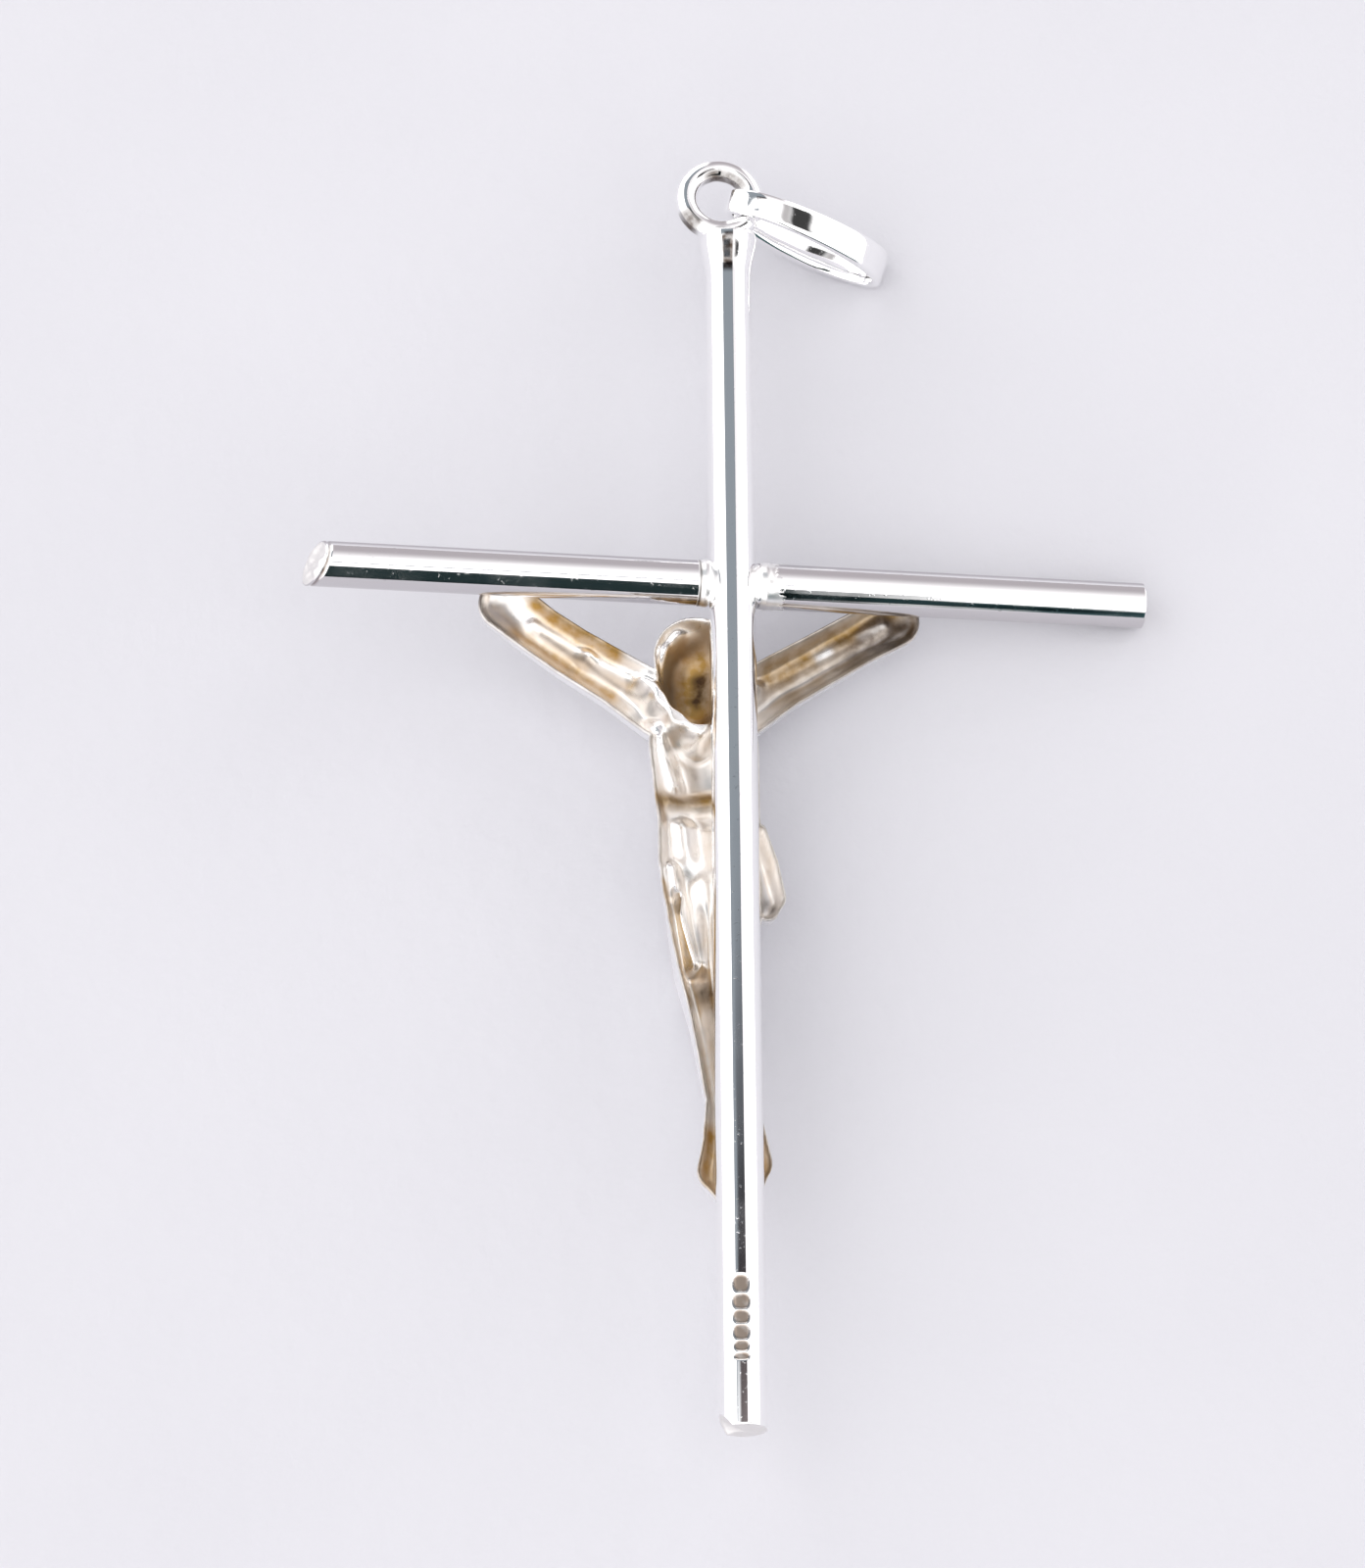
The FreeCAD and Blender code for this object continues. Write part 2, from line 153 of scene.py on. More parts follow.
# Chest, navel, waistcloth with its folds, knees, shoulders and elbows
BODY_STROKES = (
    Stroke(-1.30, 18.75, -0.45, 18.45, 0.42, 0.22),
    Stroke(0.45, 18.45, 1.30, 18.75, 0.42, 0.22),
    Stroke(0.0, 18.90, 0.0, 15.20, 0.16, -0.16),
    Stroke(0.0, 15.35, 0.0, 15.25, 0.14, -0.18),
    Stroke(-1.95, 14.75, 1.80, 14.30, 0.20, 0.24),
    Stroke(-1.85, 14.20, 1.85, 13.60, 0.13, 0.16),
    Stroke(-1.80, 13.65, 1.90, 12.90, 0.13, 0.16),
    Stroke(-1.70, 13.05, 1.80, 12.30, 0.13, 0.16),
    Stroke(-1.40, 12.45, 1.40, 11.70, 0.15, 0.18),
    Stroke(1.95, 14.40, 2.10, 11.70, 0.10, 0.12),
    Stroke(0.58, 10.10, 0.56, 9.50, 0.40, 0.22),
    Stroke(-0.80, 10.00, -0.80, 9.30, 0.38, 0.22),
    Stroke(-1.9, 20.15, -3.1, 21.0, 0.45, 0.16),
    Stroke(1.9, 20.15, 3.1, 20.9, 0.45, 0.16),
    Stroke(-4.9, 22.15, -5.9, 22.9, 0.40, 0.12),
    Stroke(4.9, 21.85, 6.0, 22.5, 0.40, 0.12),
)
RIBS = 5
RIB_TOP = 17.55
RIB_STEP = 0.42
FINGERS = 4
FINGER_STEP = 0.36
# Each hand's side and its fingertips' place, across and up
HANDS = ((-1, -8.05, 24.55), (1, 8.50, 23.75))
TOES = 5
TOE_STEP = 0.24
FEET_MIDDLES = (-0.50, 0.50)
HAIR_STRANDS = 26.0

# Coloured places in the hollow back: tarnish is brown patina, the dark kind is painted shade and painted
# reflection in nearly black, and the light kind is painted highlight in clean white metal
Spot = namedtuple("Spot", "kind across up to_across to_up half_width strength")
SPOTS = (
    Spot("bright", -1.58, 20.90, -1.35, 22.40, 0.30, 1.0),
    Spot("bright", -1.35, 22.40, -0.75, 23.10, 0.40, 1.0),
    Spot("bright", -0.75, 23.10, 0.20, 23.40, 0.30, 1.0),
    Spot("tarnish", 0.20, 22.30, 0.00, 20.00, 0.95, 1.0),
    Spot("dark", 0.45, 21.70, 0.25, 20.90, 0.50, 0.95),
    Spot("tarnish", -6.90, 23.20, -3.30, 20.75, 0.30, 0.7),
    Spot("tarnish", -6.20, 24.10, -3.20, 22.10, 0.36, 0.85),
    Spot("dark", -5.95, 23.10, -2.20, 20.50, 0.07, 0.5),
    Spot("dark", -7.60, 24.20, -7.00, 23.70, 0.35, 0.25),
    Spot("bright", -6.75, 23.95, -6.40, 23.75, 0.25, 1.0),
    Spot("bright", -4.60, 22.40, -2.14, 20.98, 0.15, 0.6),
    Spot("bright", -2.14, 20.98, -0.24, 18.93, 0.52, 1.0),
    Spot("bright", -1.75, 19.40, -1.14, 16.90, 0.30, 1.0),
    Spot("bright", -0.85, 18.30, -0.75, 17.30, 0.30, 0.35),
    Spot("dark", -0.30, 18.20, -0.10, 17.20, 0.25, 0.25),
    Spot("tarnish", -1.75, 16.10, 0.80, 16.50, 0.38, 0.75),
    Spot("dark", -1.60, 16.10, 0.60, 16.45, 0.30, 0.42),
    Spot("bright", -0.95, 15.30, -0.70, 13.60, 0.60, 1.0),
    Spot("bright", -1.48, 13.30, -1.20, 12.20, 0.34, 1.0),
    Spot("bright", -1.20, 12.20, -0.72, 9.90, 0.34, 1.0),
    Spot("tarnish", -1.85, 12.60, -1.45, 10.40, 0.22, 0.8),
    Spot("tarnish", -1.45, 10.40, -1.05, 8.40, 0.26, 0.9),
    Spot("dark", -0.35, 8.75, -0.25, 8.50, 0.28, 0.8),
    Spot("tarnish", -0.60, 8.00, -0.40, 4.00, 0.45, 0.12),
    Spot("tarnish", -0.70, 2.60, -0.85, 0.60, 0.45, 0.9),
    Spot("tarnish", 1.05, 2.40, 1.20, 1.00, 0.30, 0.8),
    Spot("tarnish", 2.90, 21.30, 7.90, 23.90, 0.55, 0.85),
    Spot("dark", 2.60, 20.90, 8.80, 23.80, 1.00, 0.48),
    Spot("dark", 3.40, 21.30, 4.40, 21.85, 0.35, 0.35),
    Spot("dark", 5.60, 22.20, 8.70, 23.70, 0.75, 0.74),
    Spot("dark", 8.10, 23.30, 8.60, 23.50, 0.40, 0.40),
    Spot("bright", 4.90, 22.10, 5.30, 22.30, 0.22, 1.0),
    Spot("bright", 6.60, 22.90, 7.45, 23.30, 0.22, 0.8),
    Spot("dark", 2.10, 11.90, 2.30, 11.60, 0.25, 0.6),
)

# Row of plain oval dents near the foot, each with its place along the upright
Punch = namedtuple("Punch", "along half_width half_height")
PUNCHES = (
    Punch(-28.36, 0.30, 0.35),
    Punch(-29.03, 0.32, 0.31),
    Punch(-29.62, 0.30, 0.27),
    Punch(-30.20, 0.30, 0.30),
    Punch(-30.72, 0.27, 0.21),
    Punch(-31.12, 0.28, 0.14),
)
PUNCH_ACROSS = -0.15
PUNCH_DEPTH = 0.035
# Stretch of the upright that holds the dents, and where its ring end starts to widen
DENTS_FROM = -31.4
DENTS_TO = -27.9
FLARE_FROM = 12.9

# Solder lumps that join the top ring to the upright: middles and half sizes
Lump = namedtuple("Lump", "name across up back half_across half_up half_back seed unevenness")
LUMPS = (
    Lump("ring_solder", -0.22, 14.98, 0.0, 0.78, 0.42, 0.66, 41, 0.05),
    Lump("ring_solder_cap", 0.52, 14.93, 0.12, 0.56, 0.34, 0.74, 42, 0.04),
)

# Mesh steps: round a rod, on a lump, round the ring and its wire, round the bail and its band
AROUND = 144
LUMP_ROWS = 40
LUMP_COLUMNS = 64
RING_STEPS = 220
WIRE_STEPS = 48
BAIL_STEPS = 320
BAND_STEPS = 56


def turn(axis, degrees):
    """Give the 3 by 3 matrix of a turn about X, Y or Z."""
    return np.array(Matrix.Rotation(np.radians(degrees), 3, axis))


LIE = turn("X", LIE_PITCH) @ turn("Y", LIE_ROLL)


def lay_down(points):
    """Bring places from the cross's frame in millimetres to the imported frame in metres."""
    return (points @ LIE.T + np.array(CROSSING)) * MM


def smooth_step(low, high, value):
    """Rise from 0 at low to 1 at high along a cubic with level ends."""
    share = np.clip((value - low) / (high - low), 0.0, 1.0)
    return share * share * (3.0 - 2.0 * share)


def circle(count):
    """Give evenly spaced angles once round, without the last one that would meet the first."""
    return np.linspace(0, 2 * np.pi, count, endpoint=False)


def rod_grid(stations):
    """Give the places along a rod and the angles round it, as two grids."""
    return np.meshgrid(stations, circle(AROUND), indexing="ij")


def ripple(u, v, seed, pitch, waves=9):
    """Sum plane waves of random direction and phase into soft unevenness between about -1 and 1."""
    draw = np.random.default_rng(seed)
    total = np.zeros(np.broadcast(u, v).shape)
    for angle, phase, stretch in zip(*draw.uniform((0, 0, 0.6), (6.28, 6.28, 1.7), (waves, 3)).T):
        total += np.sin((u * np.cos(angle) + v * np.sin(angle)) * 6.28 * stretch / pitch + phase)
    return total / np.sqrt(waves) / 1.5


def stroke_share(across, up, stroke):
    """Fall from 1 on the stroke's line to 0 aside of it, as a bell curve of the distance."""
    run = np.array((stroke.to_across - stroke.across, stroke.to_up - stroke.up))
    reach_across = across - stroke.across
    reach_up = up - stroke.up
    along = (reach_across * run[0] + reach_up * run[1]) / max(run @ run, 1e-6)
    along = np.clip(along, 0.0, 1.0)
    distance = np.hypot(reach_across - along * run[0], reach_up - along * run[1])
    return np.exp(-((distance / stroke.half_width) ** 2))


def mirrored(stroke, middle):
    """Give the same stroke on the other side of an upright line."""
    return stroke._replace(across=2 * middle - stroke.across, to_across=2 * middle - stroke.to_across)


def grid_quads(rows, columns, closed):
    """Number the quads of a grid of rows by columns, its columns joined up when closed."""
    row = np.arange(rows - 1)[:, None] * columns
    column = np.arange(columns if closed else columns - 1)[None, :]
    following = (column + 1) % columns
    corners = (row + column, row + following, row + columns + following, row + columns + column)
    return np.stack([np.broadcast_to(c, (rows - 1, column.size)) for c in corners], -1).reshape(-1, 4)


def loop_quads(rows, columns):
    """Number the quads of a grid that is joined up both ways."""
    return grid_quads(rows + 1, columns, True) % (rows * columns)


def cap_rings(ring, pole, count, rough, seed):
    """Shrink a ring towards its pole in steps, the flat between them uneven by soft waves."""
    pole = np.array(pole, float)
    share = np.linspace(0.0, 1.0, count + 2)[1:-1, None, None]
    rings = ring + (pole - ring) * share
    normal = np.cross(ring[0] - pole, ring[len(ring) // 4] - pole)
    normal /= np.linalg.norm(normal)
    reach = rings - pole
    waves = ripple(reach[..., 2], reach[..., 0] + reach[..., 1], seed, 0.9)
    return rings + normal * (rough * waves * smooth_step(0.0, 0.12, share[..., 0]))[..., None]


def close_tube(rings, first_pole, last_pole):
    """Join rings of places into one closed skin with a pole at each end."""
    rows, columns = rings.shape[:2]
    points = np.vstack([rings.reshape(-1, 3), first_pole, last_pole])
    start = np.arange(columns)
    following = (start + 1) % columns
    last_row = (rows - 1) * columns
    first = np.stack([following, start, np.full(columns, rows * columns)], -1)
    last = np.stack([last_row + start, last_row + following, np.full(columns, rows * columns + 1)], -1)
    return points, [grid_quads(rows, columns, True), first, last]


def signed_volume(points, faces):
    """Sum the tetrahedra between the origin and every triangle of the faces."""
    total = 0.0
    for block in faces:
        for second in range(1, block.shape[1] - 1):
            a, b, c = (points[block[:, i]] for i in (0, second, second + 1))
            total += np.einsum("ij,ij->", a, np.cross(b, c)) / 6.0
    return total


def add_piece(name, points, faces, look, slot, node, **layers):
    """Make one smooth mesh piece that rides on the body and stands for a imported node."""
    if signed_volume(points, faces) < 0:
        faces = [block[:, ::-1] for block in faces]
    mesh = bpy.data.meshes.new(name)
    sizes = np.concatenate([np.full(len(block), block.shape[1]) for block in faces])
    corners = np.concatenate([block.ravel() for block in faces])
    mesh.vertices.add(len(points))
    mesh.vertices.foreach_set("co", lay_down(points).astype(np.float32).ravel())
    mesh.loops.add(len(corners))
    mesh.loops.foreach_set("vertex_index", corners.astype(np.int32))
    mesh.polygons.add(len(sizes))
    mesh.polygons.foreach_set("loop_start", (np.cumsum(sizes) - sizes).astype(np.int32))
    mesh.polygons.foreach_set("loop_total", sizes.astype(np.int32))
    for layer, values in layers.items():
        attribute = mesh.attributes.new(layer, "FLOAT", "POINT")
        attribute.data.foreach_set("value", np.asarray(values, np.float32).ravel())
    mesh.update(calc_edges=True)
    if mesh.validate():
        raise RuntimeError(f"{name} has faults in its faces")
    mesh.shade_smooth()
    mesh.materials.append(look)
    piece = bpy.data.objects.new(name, mesh)
    bpy.context.scene.collection.objects.link(piece)
    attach(piece, BODY)
    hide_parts(node)
    return piece


def turned_rod(stations, radius, axis):
    """Sweep circles of the given radius along a rod: side is r sin(angle), back is r cos(angle).

    The radius is an array of stations by angles, and axis is 0 for the crossbar, 1 for the upright.
    """
    angle = circle(radius.shape[1])
    along = np.broadcast_to(stations[:, None], radius.shape)
    side = radius * np.sin(angle)
    back = radius * np.cos(angle)
    rings = np.stack([along, side, back] if axis == 0 else [side, along, back], -1)
    return rings


def spread_stations(*stretches):
    """Give places along a rod, one (start, end, count) for each stretch."""
    pieces = [np.linspace(start, end, count, endpoint=False) for start, end, count in stretches]
    return np.concatenate(pieces + [[stretches[-1][1]]])


def punch_share(across, along):
    """Give 1 inside the punched dents near the foot and 0 on the bare rod: squared-off ovals."""
    share = np.zeros(across.shape)
    for punch in PUNCHES:
        reach_across = np.abs((across - PUNCH_ACROSS) / punch.half_width)
        reach_along = np.abs((along - punch.along) / punch.half_height)
        reach = (reach_across ** 3 + reach_along ** 3) ** (1 / 3)
        share = np.maximum(share, 1.0 - smooth_step(0.75, 1.15, reach))
    return share


def make_upright(rods, look):
    """Upright: a turned rod with a narrow flat down its back, a flared ring end and a cut foot.

    Its radius r grows along a cubic at the ring end. Where the angle t off the flat's middle is less
    than the half angle h, r leans towards r cos(h) / cos(t), which is a true flat.
    """
    foot = -rods.upright_below / MM
    head = rods.upright_above / MM
    plain = rods.upright_diameter / MM / 2
    stations = spread_stations(
        (foot, foot + 0.25, 14), (foot + 0.25, DENTS_FROM, 24), (DENTS_FROM, DENTS_TO, 120),
        (DENTS_TO, FLARE_FROM, 200), (FLARE_FROM, head - 0.2, 40), (head - 0.2, head, 12),
    )
    along, around = rod_grid(stations)
    flare = smooth_step(head - rods.flare_length / MM, head, along)
    radius = plain + (rods.flare_radius / MM - plain) * flare
    edge = rods.edge_round / MM
    for end in (foot, head):
        inward = np.clip(1.0 - np.abs(along - end) / edge, 0.0, 1.0)
        radius = radius - edge * (1.0 - np.sqrt(1.0 - inward ** 2))
    turned = (around + np.pi) % (2 * np.pi) - np.pi - rods.flat_turn
    half = rods.flat_half_angle
    flat = radius * np.cos(half) / np.maximum(np.cos(turned), 0.1)
    flattened = radius + rods.flat_depth * (np.minimum(radius, flat) - radius)
    radius = np.where(np.abs(turned) < half, flattened, radius)
    radius = radius + 0.0015 * ripple(around * 3, along, 3, 6.0)
    dent = punch_share(radius * np.sin(around), along) * (np.cos(around) > 0)
    radius = radius - PUNCH_DEPTH * dent
    rings = turned_rod(stations, radius, 1)
    corner = foot + rods.foot_bevel * np.maximum(-rings[..., 0] - 0.5, 0.0)
    rings[..., 1] = np.maximum(rings[..., 1], corner)
    foot_pole = (0.06, foot - 0.01, 0)
    foot_cap = cap_rings(rings[0], foot_pole, 10, 0.02, 15)[::-1]
    points, faces = close_tube(np.vstack([foot_cap, rings]), foot_pole, (0, head, 0))
    end_tarnish = smooth_step(foot + 0.05, foot, along)
    # Painted reflection: a dark stripe painted down the flat where the ring end widens, carrying on the dark
    # gap that the rod reflects
    on_flare = smooth_step(13.0, 13.3, along) * smooth_step(14.75, 14.5, along)
    dirt_and_painted_shade = rods.flare_painted_stripe * on_flare * smooth_step(1.05, 0.8, np.abs(turned) / half)
    on_cap = np.ones(foot_cap[..., 0].size)
    add_piece("upright_rod", points, faces, look, "polished_rod", "cross",
              punched=np.r_[0 * on_cap, dent.ravel(), 0, 0],
              rough_end=np.r_[on_cap, end_tarnish.ravel(), 1, 0],
              darkened=np.r_[0 * on_cap, dirt_and_painted_shade.ravel(), 0, 0])


def make_arm(name, rods, side, look):
    """One arm: a turned rod whose outer end is cut square, or slanted on the left.

    For the slant, places near the end move outwards by their Z times the tangent of the cut's lean.
    """
    length = rods.arm_length / MM
    plain = rods.arm_diameter / MM / 2
    slant = np.tan(rods.left_cut) if side < 0 else 0.0
    start = rods.arm_start / MM
    stations = spread_stations((start, length - 1.6, 110), (length - 1.6, length, 80))
    along, around = rod_grid(stations)
    to_end = length - along
    edge = rods.edge_round / MM
    inward = np.clip(1.0 - to_end / edge, 0.0, 1.0)
    radius = plain - edge * (1.0 - np.sqrt(1.0 - inward ** 2))
    from_groove = to_end - rods.groove_place / MM
    groove = np.exp(-((from_groove / 0.06) ** 2)) if side < 0 else np.zeros(along.shape)
    radius = radius - rods.groove_depth / MM * groove
    radius = radius + 0.0012 * ripple(around * 3, along, 11 + side, 5.0)
    rings = turned_rod(stations, radius, 0)
    pull = smooth_step(length - 1.5, length, along)
    lean = rods.left_lean if side < 0 else 0.0
    rings[..., 0] = side * rings[..., 0] + pull * (slant * rings[..., 2] + lean * rings[..., 1])
    tip = (side * length + 0.02 * side, 0, 0)
    near = (side * stations[0], 0, 0)
    cap = cap_rings(rings[-1], tip, 12, 0.08 if side < 0 else 0.015, 16)
    points, faces = close_tube(np.vstack([rings, cap]), near, tip)
    rough = smooth_step(length - 0.02, length, along).ravel()
    # Dirt in the worn groove, with painted shade added on its side towards the foot; it feeds the brown
    # staining and the darkening
    dirt_and_painted_shade = (groove * (0.4 + 0.6 * smooth_step(-0.4, 0.6, -np.sin(around)))).ravel()
    on_cap = np.ones(cap[..., 0].size)
    # Painted shade: the arms' lower side and upper edge are darkened in colour by which way they face,
    # standing in for the shaded paper and dim surround that they reflect
    lean_down = -np.degrees(np.arctan2(np.sin(around), np.cos(around)))
    dull = rods.under_dull * smooth_step(46.0, 60.0, lean_down)
    dull = dull + rods.top_dull * smooth_step(-30.0, -52.0, lean_down)
    add_piece(name, points, faces, look, "polished_rod", "cross",
              punched=np.r_[dirt_and_painted_shade, 0 * on_cap, 0, 0], rough_end=np.r_[rough, on_cap, 0, 1],
              dull=np.r_[dull.ravel(), 0 * on_cap, 0, 0], darkened=np.r_[0.3 * dirt_and_painted_shade, 0 * on_cap, 0, 0])


def make_solder(rods, look):
    """Solder at the crossing: a neck whose radius rises along a cubic from the upright to each arm.

    The left one ends in a lens-shaped collar and a crease darkened by painted shade. The right one carries a
    bead and ends in a thin smear, whose edge is a mean length plus soft waves of the angle.
    """
    arm = rods.arm_diameter / MM / 2
    root = rods.neck_radius / MM
    start = rods.neck_start / MM
    collar_end = rods.collar_end / MM
    stations = np.linspace(start, collar_end, 70)
    along, around = rod_grid(stations)
    neck = smooth_step(0.58, 1.04, along)
    collar = rods.collar_rise / MM * neck * smooth_step(1.36, 1.12, along)
    radius = root + (arm - root) * neck + collar
    lip = smooth_step(collar_end - 0.06, collar_end, along)
    radius = radius + 0.006 * smooth_step(1.20, 1.30, along) - 0.04 * lip
    # Painted shade: a dark line painted at the crease beside the collar
    crease = 0.8 * np.exp(-(((along - rods.crease / MM) / 0.045) ** 2)).ravel()
    rings = turned_rod(-stations, radius, 0)
    points, faces = close_tube(rings, (-stations[0], 0, 0), (-stations[-1], 0, 0))
    add_piece("left_solder", points, faces, look, "polished_rod", "cross", darkened=np.r_[crease, 0, 0])

    stations = np.linspace(start, rods.smear_end / MM, 150)
    along, around = rod_grid(stations)
    ragged = ripple(around * 6, 0 * along, 6, 1.0)
    front = rods.smear_length / MM + 0.30 * ripple(around * 1.3, 0 * along, 5, 1.3) + 0.12 * ragged
    smear = smooth_step(front + 0.08, front - 0.08, along)
    neck = smooth_step(0.58, 1.10, along)
    bead = np.exp(-(((along - 1.28) / 0.16) ** 2))
    lumps = 0.006 * ripple(around, along, 7, 0.9)
    radius = root + (arm - 0.02 - root) * neck + (0.034 + lumps) * smear * neck + 0.03 * bead
    rings = turned_rod(stations, radius, 0)
    points, faces = close_tube(rings, (stations[0], 0, 0), (stations[-1], 0, 0))
    add_piece("right_solder", points, faces, look, "polished_rod", "cross")


def make_lump(lump, look):
    """Lump: an ellipsoid whose radius is uneven by soft waves over its two angles."""
    polar = np.linspace(0, np.pi, LUMP_ROWS + 2)[1:-1]
    polar, around = np.meshgrid(polar, circle(LUMP_COLUMNS), indexing="ij")
    unit = np.stack([np.sin(polar) * np.cos(around), np.cos(polar), np.sin(polar) * np.sin(around)], -1)
    swell = 1.0 + lump.unevenness * ripple(unit[..., 0] + unit[..., 2], unit[..., 1], lump.seed, 1.4)
    centre = np.array((lump.across, lump.up, lump.back))
    rings = centre + unit * (lump.half_across, lump.half_up, lump.half_back) * swell[..., None]
    top = centre + (0, lump.half_up, 0)
    bottom = centre - (0, lump.half_up, 0)
    points, faces = close_tube(rings, top, bottom)
    add_piece(lump.name, points, faces, look, "polished_rod", "cross")


def make_ring(ring, rod_look, solder_look):
    """Top ring: a circle of wire, a little uneven, with solder lumps where it meets the rod.

    With R to the wire's middle and r its radius: (R + r cos s) cos a, (R + r cos s) sin a, r sin s.
    """
    around, section = np.meshgrid(circle(RING_STEPS), circle(WIRE_STEPS), indexing="ij")
    wire = ring.wire_radius / MM * (1.0 + 0.012 * ripple(np.cos(around) * 2, np.sin(around) * 2, 31, 1.5))
    reach = ring.mean_radius / MM + wire * np.cos(section)
    centre = np.array((ring.across / MM, ring.up / MM, 0.0))
    points = np.stack([reach * np.cos(around), reach * np.sin(around), wire * np.sin(section)], -1)
    quads = loop_quads(RING_STEPS, WIRE_STEPS)
    # Painted reflection on the inner side of the ring's top, for the dark surround that it reflects, and
    # painted shade at its lower left by the solder
    top = smooth_step(0.35, 0.9, np.cos(around - 1.35)) * smooth_step(0.1, 0.6, -np.cos(section))
    corner = smooth_step(0.93, 0.99, np.cos(around - 3.85)) * smooth_step(-0.2, 0.3, np.cos(section))
    add_piece("top_ring", points.reshape(-1, 3) + centre, [quads], rod_look, "polished_rod", "cross",
              darkened=np.maximum(0.75 * top, 0.8 * corner))
    for lump in LUMPS:
        make_lump(lump, solder_look)


def make_bail(bail, look):
    """Bail: a rounded strip carried round the oval A cos(a), B sin(a), wider at its free end.

    The strip's section is the squared-off circle |x|^5 + |y|^5 = 1, and its inner face is crowned.
    """
    wall = bail.wall / MM
    long_half = bail.length / MM / 2 - wall / 2
    short_half = bail.height / MM / 2 - wall / 2
    around, section = np.meshgrid(circle(BAIL_STEPS), circle(BAND_STEPS), indexing="ij")
    share = (np.cos(around) + 1.0) / 2.0
    half_width = (bail.ring_end + (bail.free_end - bail.ring_end) * share) / MM / 2
    square = (np.abs(np.cos(section)) ** 5 + np.abs(np.sin(section)) ** 5) ** (-1 / 5)
    across_band = np.sin(section) * square * half_width
    out = np.cos(section) * square * wall / 2 * (1.0 + 0.03 * ripple(around * 2, across_band, 51, 1.3))
    out = np.where(out < 0, out * (1.0 + 0.35 * (1.0 - (across_band / half_width) ** 2)), out)
    normal = np.stack([np.cos(around) * short_half, np.sin(around) * long_half], -1)
    normal /= np.linalg.norm(normal, axis=-1, keepdims=True)
    points = np.stack([
        np.cos(around) * long_half + normal[..., 0] * out,
        np.sin(around) * short_half + normal[..., 1] * out,
        across_band,
    ], -1).reshape(-1, 3)
    about, slope, lean = np.degrees((bail.turn, bail.slope, bail.lean))
    place = turn("Z", about) @ turn("Y", slope) @ turn("X", 90.0 + lean)
    centre = np.array((bail.across, bail.up, bail.back)) / MM
    quads = loop_quads(BAIL_STEPS, BAND_STEPS)
    add_piece("bail_band", points @ place.T + centre, [quads], look, "bail_band", "bail")


def limb_stretches():
    """Pair each section with the next one of its limb."""
    return [(a, b) for a, b in zip(SECTIONS, SECTIONS[1:]) if a.limb == b.limb]


def stretch_reach(first, last, across, up):
    """Give distance from a stretch of limb, and its half width and relief beside each place."""
    run = (last.across - first.across, last.up - first.up)
    share = (run[0] * (across - first.across) + run[1] * (up - first.up)) / (run[0] ** 2 + run[1] ** 2)
    share = np.clip(share, 0.0, 1.0)
    distance = np.hypot(across - first.across - share * run[0], up - first.up - share * run[1])
    half_width = first.half_width + share * (last.half_width - first.half_width)
    relief = first.relief + share * (last.relief - first.relief)
    return distance, half_width, relief


def outline_margin(across, up):
    """Give how far each place lies inside the figure's outline, negative outside."""
    reaches = (stretch_reach(a, b, across, up) for a, b in limb_stretches())
    return np.max([half_width - distance for distance, half_width, relief in reaches], axis=0)


def relief_height(across, up, inset):
    """Blend the humps relief * (1 - (distance / half width)^2)^power of all limbs."""
    humps = {}
    for first, last in limb_stretches():
        distance, half_width, relief = stretch_reach(first, last, across, up)
        share = np.clip(1.0 - (distance / (half_width - inset)) ** 2, 0.0, 1.0)
        height = relief * share ** HUMP_POWER
        humps[first.limb] = np.maximum(humps.get(first.limb, 0.0), height)
    return sum(hump ** BLEND_POWER for hump in humps.values()) ** (1.0 / BLEND_POWER)


def hollow_depth(across, up, rim, share):
    """Depth behind the rim: part of the relief, less the ridges, averaged over a small round patch."""
    angle = circle(PATCH_PLACES)
    total = 0.0
    for aside, ahead in [(0.0, 0.0), *(PATCH_RADIUS * np.stack([np.cos(angle), np.sin(angle)], -1))]:
        x, y = across + aside, up + ahead
        margin = np.maximum(outline_margin(x, y), 0.0)
        ridges = sum(s.rise * stroke_share(x, y, s) for s in HOLLOW_STROKES)
        lumps = 0.02 * ripple(x, y, 61, 1.8) - ridges
        depth = share * relief_height(x, y, rim) + smooth_step(0.0, 0.5, margin - rim) * lumps
        total = total + np.maximum(depth, 0.0)
    return total / (PATCH_PLACES + 1)


def outline_cells(cell):
    """Cover the outline with a square grid whose edge places are drawn onto the outline itself."""
    far = max(abs(s.across) + s.half_width for s in SECTIONS) + 2 * cell
    low = min(s.up - s.half_width for s in SECTIONS) - 2 * cell
    high = max(s.up + s.half_width for s in SECTIONS) + 2 * cell
    columns = int(2 * far / cell) + 1
    rows = int((high - low) / cell) + 1
    up, across = np.meshgrid(low + cell * np.arange(rows), -far + cell * np.arange(columns), indexing="ij")
    up, across = up.ravel(), across.ravel()
    inside = outline_margin(across, up) > 0.4 * cell
    quads = grid_quads(rows, columns, False)
    quads = quads[inside[quads].any(1)]
    used, quads = np.unique(quads, return_inverse=True)
    quads = quads.reshape(-1, 4)
    across, up, edge = across[used], up[used], ~inside[used]
    step = 0.01
    for _ in range(4):
        x, y = across[edge], up[edge]
        margin = outline_margin(x, y)
        slope_x = (outline_margin(x + step, y) - outline_margin(x - step, y)) / (2 * step)
        slope_y = (outline_margin(x, y + step) - outline_margin(x, y - step)) / (2 * step)
        steep = np.maximum(slope_x ** 2 + slope_y ** 2, 0.3)
        across[edge] -= margin * slope_x / steep
        up[edge] -= margin * slope_y / steep
    return across, up, quads


def rim_edges(quads):
    """Find the edges that only one quad has, each in that quad's own direction."""
    edges = np.concatenate([quads[:, (i, (i + 1) % 4)] for i in range(4)])
    _, first, count = np.unique(np.sort(edges, 1), axis=0, return_index=True, return_counts=True)
    return edges[first[count == 1]]


